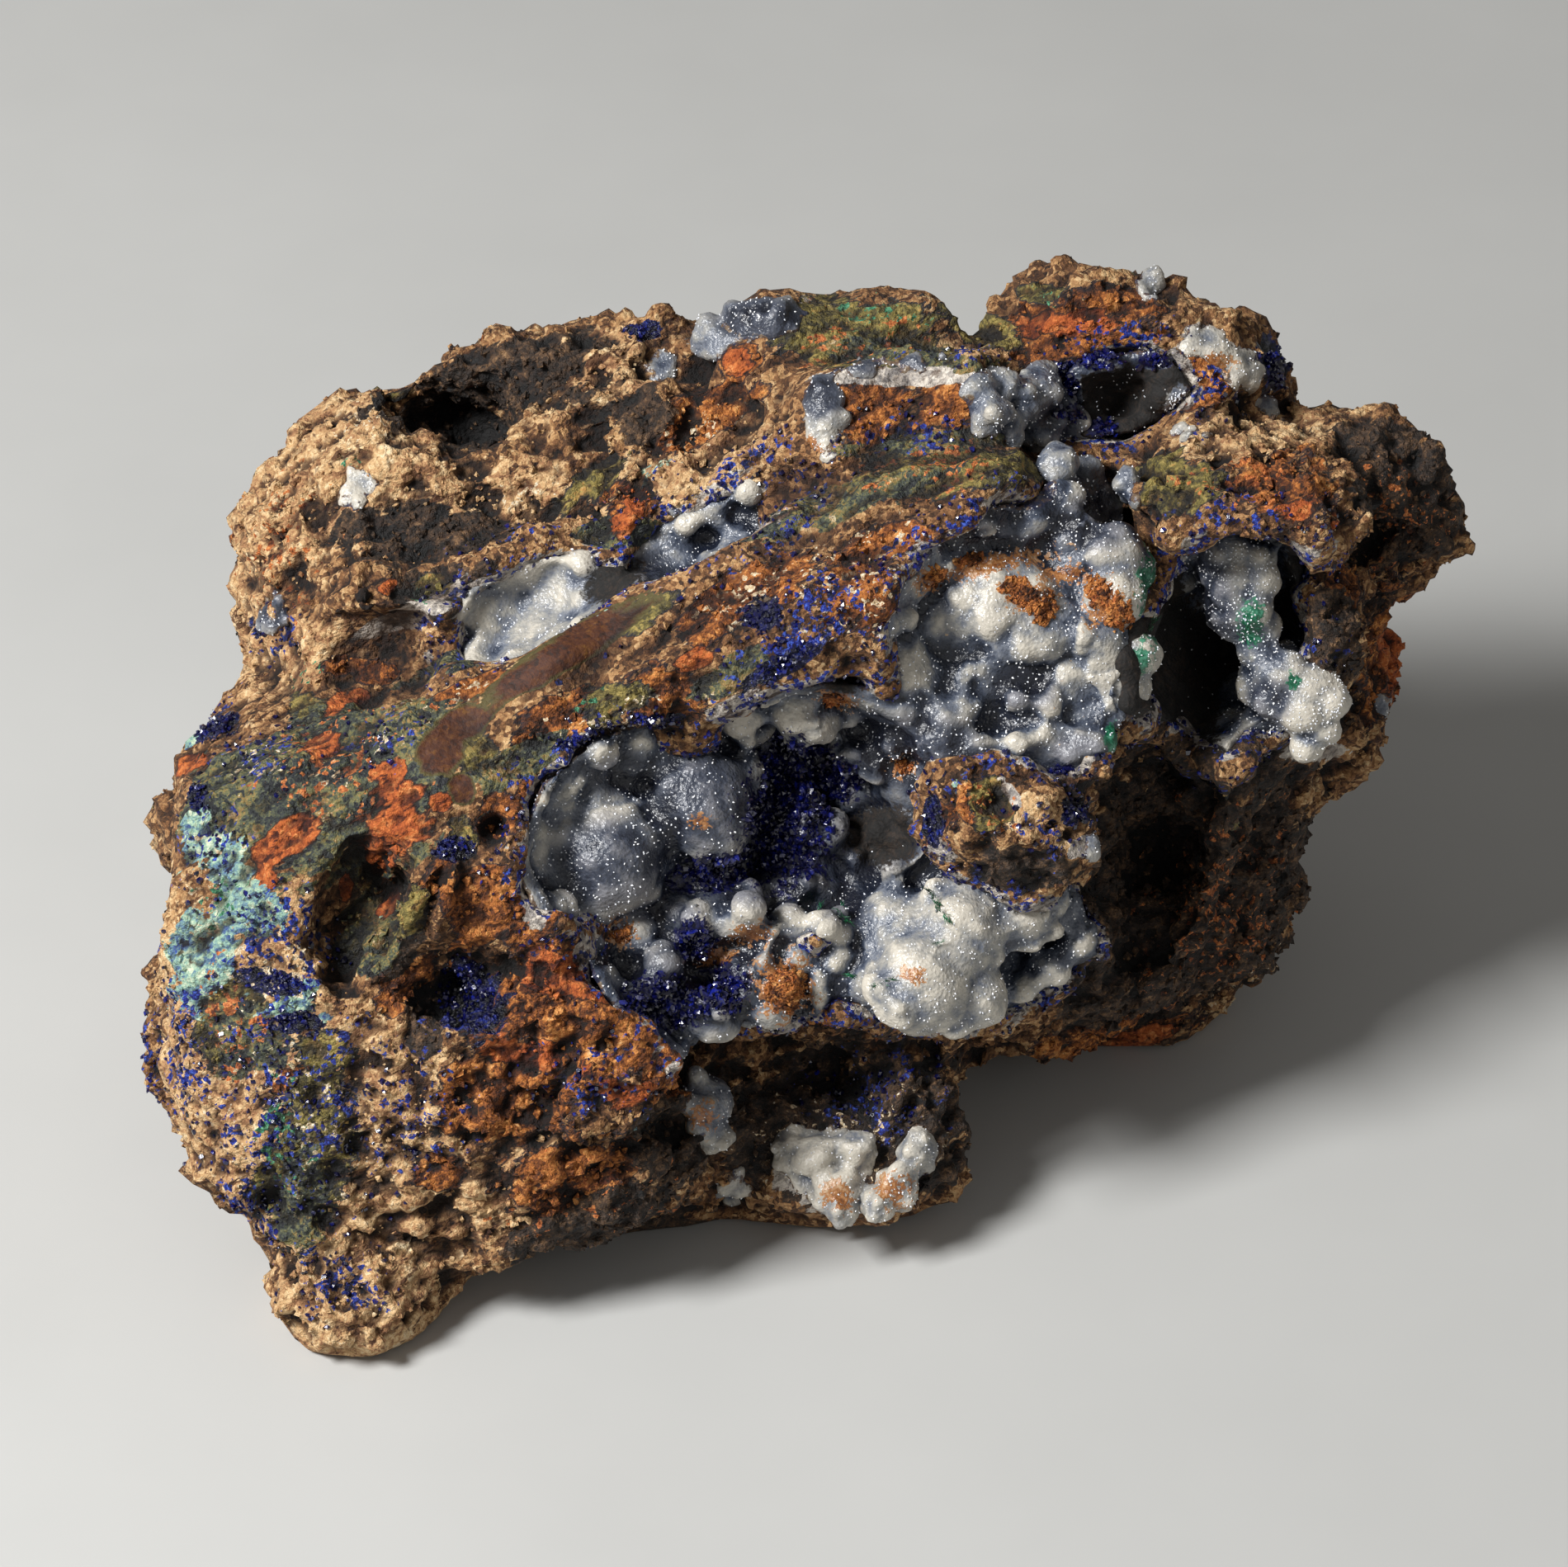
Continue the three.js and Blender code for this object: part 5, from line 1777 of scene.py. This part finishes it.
    def build(self, rock: Piece) -> Piece:
        """Grow the lumps over the rock and colour them.

        Args:
            rock: The finished rock.

        Returns:
            The finished lumps.
        """
        rng = np.random.default_rng(self.seed)
        swarms = zip(self.skins(rng, rock), self.budded_domes(rng))
        lumps = swarm_of_balls(self.name, *(np.concatenate(parts) for parts in swarms))
        remesh(lumps, self.cell, self.softening)
        for index, relief in enumerate(self.reliefs):
            relief.press(lumps, f"lump_relief_{index}")
        keep_in_box(lumps)
        points = FACE.coordinates(places_of(lumps))
        for tint in QUARTZ_TINTS:
            store(lumps, tint.value, patch_mask(points, self.tints.get(tint, ()), ROCK_TREE))
        height = distances(places_of(lumps), tree_of(rock))
        beside, fade = self.contact
        store(lumps, Tint.CONTACT.value, np.clip(beside - fade * height, 0.0, 1.0))
        # How far the lumps stand out, which the quartz's colour turns partly into painted shade
        store(lumps, CREST_SHADE, crest_level(lumps, self.crest_scales))
        return dress(lumps, QUARTZ_MATERIAL, smooth=True)

    def skins(self, rng: Generator, rock: Piece) -> tuple[Array, Array]:
        """Lay balls over the patches, largest in a middle.

        Args:
            rng: The seeded generator.
            rock: The finished rock.

        Returns:
            Places and radii, in metres.
        """
        skin = Skin(rock)
        points = FACE.coordinates(skin.places)
        inside = skin.of_triangles(patch_mask(points, self.patches, ROCK_TREE, self.reach))
        weights = (inside > self.inside_from) * skin.facing(self.margin)
        places, normals, chosen = skin.scatter(rng, self.count, weights)
        share = filled(inside[chosen], 1.0) ** 0.7 * rng.uniform(*self.spread, len(chosen))
        low, high = self.radii
        radii = (low + (high - low) * share) * MM
        return places - normals * (self.sink * radii)[:, None], radii

    def budded_domes(self, rng: Generator) -> tuple[Array, Array]:
        """Lay the domes and the buds round them.

        Args:
            rng: The seeded generator.

        Returns:
            Places and radii, in metres.
        """
        feet = np.array([FACE.spot(ROCK_TREE, x, w) + [0.0, 0.0, lift] for x, w, lift, _ in self.domes])
        cores = np.array(self.domes)[:, 3]
        around = np.repeat(feet, self.buds, axis=0)
        wide = np.repeat(cores, self.buds)
        ways = rng.normal(size=around.shape)
        ways /= np.linalg.norm(ways, axis=1)[:, None]
        around = around + ways * wide[:, None] * rng.uniform(*self.bud_places, (len(wide), 1))
        buds = wide * rng.uniform(*self.bud_radii, len(wide))
        places = np.concatenate([FACE.worlds(feet), FACE.worlds(around)])
        return places, np.concatenate([cores * self.core, buds]) * MM


# Small crystals and grains


def coloured_like(swarm: Piece, skin: Skin, chosen: Array, names: Sequence[str]) -> None:
    """Give every copy in a swarm the attributes of the triangle that it stands on.

    Args:
        swarm: The joined copies.
        skin: The surface that they stand on.
        chosen: The triangle of each copy.
        names: The attributes.
    """
    each = len(swarm.data.vertices) // len(chosen)
    for name in names:
        values = skin.of_triangles(stored(skin.piece, name))[chosen]
        store(swarm, name, np.repeat(values, each))


def swarm_of_chips(
    name: str, rng: Generator, places: Array, normals: Array, sizes: Pair, skew: float
) -> Piece:
    """Lay chips on places of a surface.

    Args:
        name: Name of the new piece.
        rng: The seeded generator.
        places: Where they lie, in metres.
        normals: The surface's normals there.
        sizes: The smallest and the largest, in millimetres.
        skew: How much commoner the small ones are, as a power.

    Returns:
        The chips, as one mesh.
    """
    low, high = sizes
    spans = low + (high - low) * rng.random((len(places), 1)) ** skew
    spans = spans * rng.uniform(*CHIP_STRETCH, (len(places), 3)) * MM
    return CHIP.swarm(name, places, frames_about(rng, normals, 1.0), spans / 2.0)


@dataclass
class RockGrains:
    """Loose-looking grains and crumbs that stand out of the crumbly parts of the rock."""

    name: str
    seed: int
    count: int
    sizes: Pair
    tints: tuple[Tint, ...]
    skew: float = 3.0
    cover_from: float = 0.35
    cover_range: Pair = (0.01, 0.5)
    facing_from: float = -0.2
    behind_share: float = 0.15
    smooth_to: float = 0.4
    base_height: float = 2.0
    crest_shade: float = 0.7

    def build(self, rock: Piece) -> Piece:
        """Scatter the grains over the rock.

        Args:
            rock: The finished rock.

        Returns:
            The grains, as one mesh.
        """
        rng = np.random.default_rng(self.seed)
        skin = Skin(rock)
        cover = sum(skin.tinted(tint) for tint in self.tints)
        smooth = skin.tinted(Tint.STREAK) + skin.tinted(Tint.MILKY)
        away = skin.of_triangles(skin.places[:, 2]) > self.base_height * MM
        weights = np.clip(cover - self.cover_from, *self.cover_range)
        weights = weights * np.where(skin.outward > self.facing_from, 1.0, self.behind_share)
        weights = weights * away * (smooth < self.smooth_to)
        places, normals, chosen = skin.scatter(rng, self.count, weights)
        grains = swarm_of_chips(self.name, rng, places, normals, self.sizes, self.skew)
        coloured_like(grains, skin, chosen, [GRIT, *(tint.value for tint in ROCK_TINTS)])
        store(grains, CREST_SHADE, np.full(len(grains.data.vertices), self.crest_shade))
        keep_in_box(grains)
        return dress(grains, ROCK_MATERIAL)


@dataclass
class OchreCrumbs:
    """Lumps of ochre crumbs that are caught in the quartz of a hollow."""

    name: str = "ochre_crumbs"
    seed: int = 53
    count: int = 1500
    sizes: Pair = (0.3, 1.1)
    skew: float = 2.0
    reach: float = 3.0
    margin: float = 0.2
    inside_from: float = 0.46
    crest_shade: float = 0.6
    patches: Patches = (
        (19.4, 19.6, 2.2, 1.4, -35), (21.4, 18.2, 1.4, 1.8), (26.6, 19.6, 1.3, 1.7, 20),
        (28.2, 17.8, 1.6, 1.8), (11.8, 21.2, 1.1, 1.1), (2.6, 9.8, 1.3, 0.9), (14.6, 22.6, 1.6, 0.6, 10),
        (-1.6, -16.4, 2.2, 2.4), (-4.4, 11.6, 2.6, 0.9), (-16.8, -11.4, 1.2, 0.8), (8.8, 3.8, 0.9, 0.8),
    )

    def build(self, lining: Piece) -> Piece:
        """Scatter the crumbs over the quartz.

        Args:
            lining: The finished quartz.

        Returns:
            The crumbs, as one mesh.
        """
        rng = np.random.default_rng(self.seed)
        skin = Skin(lining)
        points = FACE.coordinates(skin.places)
        inside = skin.of_triangles(patch_mask(points, self.patches, WHOLE_TREE, self.reach))
        weights = np.clip(inside - self.inside_from, 0.0, 0.5) ** 1.5 * skin.facing(self.margin)
        places, normals, _ = skin.scatter(rng, self.count, weights)
        crumbs = swarm_of_chips(self.name, rng, places, normals, self.sizes, self.skew)
        vertices = len(crumbs.data.vertices)
        shares = {Tint.OCHRE: 0.9, Tint.RUST: 0.8}
        for tint in ROCK_TINTS:
            store(crumbs, tint.value, np.full(vertices, shares.get(tint, 0.0)))
        store(crumbs, GRIT, np.ones(vertices))
        store(crumbs, CREST_SHADE, np.full(vertices, self.crest_shade))
        keep_in_box(crumbs)
        return dress(crumbs, ROCK_MATERIAL)


@dataclass
class CrystalBed:
    """Many small crystals that stand on the quartz or the rock."""

    name: str
    seed: int
    count: int
    heights: Pair
    form: Seed
    finish: Material
    lean: float
    slimness: Pair = (0.8, 1.3)

    def build(self, skin: Skin, weights: Array) -> Piece:
        """Stand the crystals on a surface.

        Args:
            skin: The surface.
            weights: How likely each triangle carries a crystal, for its area.

        Returns:
            The crystals, as one mesh.
        """
        rng = np.random.default_rng(self.seed)
        places, normals, _ = skin.scatter(rng, self.count, weights)
        heights = rng.uniform(*self.heights, self.count) * MM
        widths = [heights * rng.uniform(*self.slimness, self.count) for _ in range(2)]
        sizes = np.stack([*widths, heights], axis=1)
        bed = self.form.swarm(self.name, places, frames_about(rng, normals, self.lean), sizes)
        keep_in_box(bed)
        return dress(bed, self.finish)


@dataclass
class MalachiteSprays:
    """Tufts of fine malachite needles on the quartz, each with its length and its heading in degrees."""

    tufts: tuple[Tuft, ...] = (
        (5, -15.4, 2.6, -15), (6.8, -15.8, 1.8, 20), (11.6, -8.2, 2, -60), (12.4, -9.6, 1.6, -50),
        (11.9, -12.2, 1, 10), (17, -18, 1.2, 40), (2.6, -9.4, 1.8, 45), (3.2, -9.8, 1.6, -40),
        (1.2, -9, 1, 80), (30.4, 23.6, 1.4, 80), (31.2, 22, 1.6, 70), (31.4, 20.4, 1.4, 100),
        (31.6, 18.6, 1.8, 80), (31.4, 16.8, 1.4, 60), (30.8, 15, 1.2, 90), (29.6, 8, 1, 90),
        (28, 6.4, 1.2, 70), (39.4, 19.4, 2, 100), (40.2, 17.6, 2.2, 80), (40.8, 16, 2.2, 100),
        (40.2, 14.6, 2, 60), (41.4, 13.6, 1.6, 0), (43.8, 11.6, 1.8, -60), (45.2, 10.4, 1.4, -40),
        (38.8, 21.4, 1.4, 120), (15.2, 22.6, 1, 90), (26.4, 14.8, 0.8, 0), (-8.2, 30.4, 0.8, 0),
    )
    needles: int = 34
    seed: int = 41
    stray: float = 0.12
    sink: float = 0.1
    fan: float = 0.7
    rise: float = 0.5
    lengths: Pair = (0.25, 0.5)
    lean: float = 0.1

    def build(self) -> Piece:
        """Stand needles along each tuft, on the quartz that shows there.

        Returns:
            The needles, as one mesh.
        """
        rng = np.random.default_rng(self.seed)
        feet, directions, lengths = [], [], []
        for x, w, length, heading in self.tufts:
            foot = FACE.spot(WHOLE_TREE, x, w)
            along = np.array([math.cos(math.radians(heading)), math.sin(math.radians(heading))])
            run = rng.uniform(-0.5, 0.5, (self.needles, 1)) * length
            spots = foot[:2] + run * along + rng.normal(0.0, self.stray, (self.needles, 2))
            feet.append(np.column_stack([spots, np.full(self.needles, foot[2] - self.sink)]))
            lean = np.column_stack([np.sign(run) * along * self.fan, np.full(self.needles, self.rise)])
            directions.append(lean + rng.uniform(-0.5, 0.5, (self.needles, 3)))
            lengths.append(rng.uniform(*self.lengths, self.needles) * length * MM)
        sizes = np.repeat(np.concatenate(lengths)[:, None], 3, axis=1)
        ways = np.concatenate(directions) @ np.array(FACE.turn()).T
        ways /= np.linalg.norm(ways, axis=1)[:, None]
        places = FACE.worlds(np.concatenate(feet))
        sprays = NEEDLE.swarm("malachite_sprays", places, frames_about(rng, ways, self.lean), sizes)
        keep_in_box(sprays)
        return dress(sprays, MALACHITE_MATERIAL)


# Floor, light and camera


@dataclass(frozen=True)
class Lamp:
    """A soft square lamp: its direction from the specimen, its distance and side in metres, and its power."""

    name: str
    toward: Triple
    distance: float
    size: float
    watts: float
    middle: Triple = (0.0, 0.0, 0.035)

    def hang(self) -> None:
        """Hang the lamp, turned to the specimen."""
        light = bpy.data.lights.new(self.name, "AREA")
        light.size = self.size
        light.energy = self.watts
        lamp = bpy.data.objects.new(self.name, light)
        direction = Vector(self.toward).normalized()
        lamp.location = Vector(self.middle) + direction * self.distance
        lamp.rotation_euler = direction.to_track_quat("Z", "Y").to_euler()
        bpy.context.scene.collection.objects.link(lamp)


@dataclass
class Studio:
    """A pale floor, soft lights and the camera that looks at the display face."""

    lens: float = 151.6
    sensor: float = 36.0
    near: float = 0.01
    floor_size: float = 6.0
    floor_colour: Colour = (0.7, 0.7, 0.69)
    floor_paler: float = 1.03
    floor_clouds: float = 60.0
    floor_roughness: float = 0.7
    lamps: tuple[Lamp, ...] = (
        Lamp("key", toward=(-0.75, -0.42, 0.9), distance=0.7, size=0.2, watts=8.0),
        Lamp("fill", toward=(0.7, -1.0, 0.6), distance=0.9, size=0.6, watts=0.5),
    )
    sky: float = 0.2
    sky_colour: tuple[float, float, float, float] = (1.0, 0.98, 0.95, 1.0)

    def floor(self) -> Piece:
        """Lay the floor under the specimen.

        Returns:
            The floor.
        """
        bpy.ops.object.select_all(action="DESELECT")
        bpy.ops.mesh.primitive_plane_add(size=self.floor_size, location=(0.0, 0.0, 0.0))
        floor = bpy.context.object
        floor.name = "floor"
        shader = Shader("floor")
        paler = tuple(channel * self.floor_paler for channel in self.floor_colour)
        tone = shader.ramp(shader.noise(self.floor_clouds), ((0.3, self.floor_colour), (0.7, paler)))
        return dress(floor, shader.made({"Base Color": tone, "Roughness": self.floor_roughness}))

    def camera(self) -> None:
        """Set up the camera in front of the display face."""
        data = bpy.data.cameras.new("camera")
        data.sensor_width = self.sensor
        data.lens = self.lens
        data.clip_start = self.near
        camera = bpy.data.objects.new("camera", data)
        camera.matrix_world = Matrix.Translation(FACE.world(FACE.eye)) @ FACE.turn().to_4x4()
        bpy.context.scene.collection.objects.link(camera)
        bpy.context.scene.camera = camera

    def build(self) -> Piece:
        """Set up everything round the specimen.

        Returns:
            The floor.
        """
        for lamp in self.lamps:
            lamp.hang()
        world = bpy.data.worlds.new("studio")
        world.use_nodes = True
        background = world.node_tree.nodes["Background"].inputs
        background["Color"].default_value = self.sky_colour
        background["Strength"].default_value = self.sky
        bpy.context.scene.world = world
        bpy.context.scene.view_settings.view_transform = "Standard"
        self.camera()
        return self.floor()


BALL = seed_ball(2)
CHIP = seed_chip()
POINT = seed_crystal(6, waist=0.45, shoulder=0.2, foot=0.3)
BLADE = seed_crystal(4, waist=0.5, shoulder=0.55, foot=0.3)
NEEDLE = seed_crystal(3, waist=0.06, shoulder=0.2, foot=0.1)

ROCK_MATERIAL = RockFinish().make()
QUARTZ_MATERIAL = QuartzFinish().make()
POINTS_MATERIAL = QUARTZ_POINTS.make()
AZURITE_MATERIAL = AZURITE.make()
MALACHITE_MATERIAL = MALACHITE.make()


def place(piece: Piece, slot: Slot, *nodes: str) -> None:
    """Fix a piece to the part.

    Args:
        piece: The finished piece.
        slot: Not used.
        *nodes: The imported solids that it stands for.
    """
    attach(piece, "root")
    if nodes:
        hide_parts(*nodes)
    piece.data.calc_loop_triangles()
    log.info("%s: %d triangles", piece.name, len(piece.data.loop_triangles))


def build_linings() -> list[Piece]:
    """Build the quartz in the four hollows.

    Returns:
        The finished linings, in the order of their solids.
    """
    linings = (
        QuartzLining(
            "crust_front_hollow", "quartz_front_hollow", cell=0.46, seed=11, buds=260, bud_radii=(1.2, 2.3),
            nodules=FRONT_NODULES, tints=FRONT_TINTS, gap_depth=1.0,
            smooth=((12.4, -13, 7, 6), (19, -9.4, 4, 3), (-18, -5, 4.6, 4.6), (-9.6, 0.8, 3.4, 3.4)),
        ),
        QuartzLining(
            "crust_cave", "quartz_cave", cell=0.45, seed=12, buds=50, bud_radii=(0.6, 1.2),
            nodules=CAVE_NODULES, gap_depth=0.0,
            # Outside these pale spots the cave is painted dark: painted shade over dark goethite
            pale_spots=((38.6, 21, 3.6, 5.4), (41.2, 14.6, 2.4, 2.4), (44.4, 10, 5.6, 5)),
            tints={
                Tint.GREEN: ((40.4, 16.8, 1.4, 2.6), (44.2, 11.6, 0.9, 1)),
                Tint.MILKY: ((46, 9, 2.4, 3),),
                Tint.SMOKY: ((36.8, 19, 2.4, 5, 10), (42, 10, 2.4, 2.4)),
            },
        ),
        QuartzLining(
            "crust_trench", "quartz_trench", cell=0.45, seed=13, buds=60, bud_radii=(0.8, 1.6),
            smooth=((-27.4, 18.4, 7, 4.4, 30),),
            tints={
                Tint.MILKY: ((-27.4, 18.4, 11, 8, 30),),
                # The smoky and goethite patches darken the deep middle of the trench, as painted shade
                Tint.SMOKY: ((-16, 21, 4.4, 3, 20),),
                Tint.GOETHITE: ((-17.6, 20.6, 3.2, 2.2, 20),),
                Tint.BLUE: ((-19, 17, 1.6, 0.6), (-11, 29, 2, 1)),
            },
        ),
        QuartzLining(
            "crust_crown_hollow", "azurite_crown_hollow", cell=0.4, seed=14, buds=40, bud_radii=(0.5, 1.1),
            # Outside these pale spots the crown hollow is painted dark: dark goethite and painted shade
            pale_spots=((34.2, 36.2, 1.3, 1.7), (25.6, 41, 2.6, 1), (31.6, 41, 1.6, 0.8), (23.6, 38, 1, 2)),
            tints={
                Tint.BLUE: ((26, 41, 3, 1), (31.6, 40.8, 1.6, 0.8), (23.8, 38, 1, 2), (27, 34.6, 1.4, 0.8)),
                Tint.MILKY: ((33.8, 35.8, 2, 2.4),),
            },
        ),
    )
    built = []
    for lining in linings:
        piece = lining.build()
        slot = Slot.AZURITE if lining.name.startswith("azurite") else Slot.QUARTZ
        place(piece, slot, lining.node)
        built.append(piece)
    return built


@dataclass
class Crystals:
    """Quartz points and azurite crystals: how many on a square millimetre of quartz or in all, and where."""

    quartz_margin: float = 0.3
    rock_margin: float = 0.2
    points: float = 1.5
    blades: float = 7.0
    bare_blue: float = 1.4
    bare_dark: float = 2.0
    bare_least: float = 0.02
    specks: int = 5600
    blue_inside: float = 0.5
    blue_from: float = 0.47
    speck_blue: Pair = (0.45, 4.0)
    speck_azure: Pair = (0.5, 0.5)

    def on_quartz(self, index: int, lining: Piece) -> None:
        """Stand points on one body of quartz, and blades of azurite where it is blue.

        Args:
            index: The number of the piece, from 0.
            lining: The finished quartz.
        """
        skin = Skin(lining)
        outward = skin.facing(self.quartz_margin)
        blue, dark = skin.tinted(Tint.BLUE), skin.tinted(Tint.GOETHITE)
        area = float((skin.areas * outward).sum()) / MM**2
        points = CrystalBed(
            f"quartz_points_{index + 1}", seed=21 + index, count=int(area * self.points),
            heights=(0.08, 0.19), form=POINT, finish=POINTS_MATERIAL, lean=0.8,
        )
        bare = np.clip(1.0 - self.bare_blue * blue - self.bare_dark * dark, self.bare_least, 1.0)
        place(points.build(skin, outward * bare), Slot.QUARTZ)
        inside = blue > self.blue_inside
        if inside.any():
            area = float((skin.areas * outward * inside).sum()) / MM**2
            bed = CrystalBed(
                f"azurite_bed_{index + 1}", seed=31 + index, count=int(area * self.blades),
                heights=(0.3, 0.7), form=BLADE, finish=AZURITE_MATERIAL, lean=0.9, slimness=(0.4, 1.2),
            )
            weights = outward * np.clip(blue - self.blue_from, 0.0, 1.0)
            place(bed.build(skin, weights), Slot.AZURITE)

    def on_rock(self, rock: Piece) -> None:
        """Scatter small blades of azurite over the blue parts of the rock.

        Args:
            rock: The finished rock.
        """
        skin = Skin(rock)
        specks = CrystalBed(
            "azurite_specks", seed=39, count=self.specks, heights=(0.2, 0.5), form=BLADE,
            finish=AZURITE_MATERIAL, lean=0.9, slimness=(0.6, 1.4),
        )
        shares = ((Tint.BLUE, *self.speck_blue), (Tint.AZURE, *self.speck_azure))
        parts = [gain * np.clip(skin.tinted(tint) - low, 0.0, 1.0) for tint, low, gain in shares]
        place(specks.build(skin, skin.facing(self.rock_margin) * (parts[0] + parts[1])), Slot.AZURITE)


def main() -> None:
    """Build the specimen piece by piece and set up the studio."""
    logging.basicConfig(level=logging.INFO, format="%(name)s: %(message)s")
    rock = RockBody().build()
    place(rock, Slot.ROCK, "matrix")
    linings = build_linings()
    lumps = QuartzLumps().build(rock)
    place(lumps, Slot.QUARTZ)
    crystals = Crystals()
    for index, quartz in enumerate([*linings, lumps]):
        crystals.on_quartz(index, quartz)
    crystals.on_rock(rock)
    grains = (
        RockGrains("ochre_grains", seed=51, count=8000, sizes=(0.3, 1.4), tints=(Tint.OCHRE, Tint.GOETHITE)),
        RockGrains("buff_grains", seed=52, count=3600, sizes=(0.3, 1.0), tints=(Tint.BUFF,)),
    )
    for swarm in grains:
        place(swarm.build(rock), Slot.ROCK)
    place(OchreCrumbs().build(linings[0]), Slot.ROCK)
    place(MalachiteSprays().build(), Slot.MALACHITE)
    Studio().build()


if __name__ == "__main__":
    main()
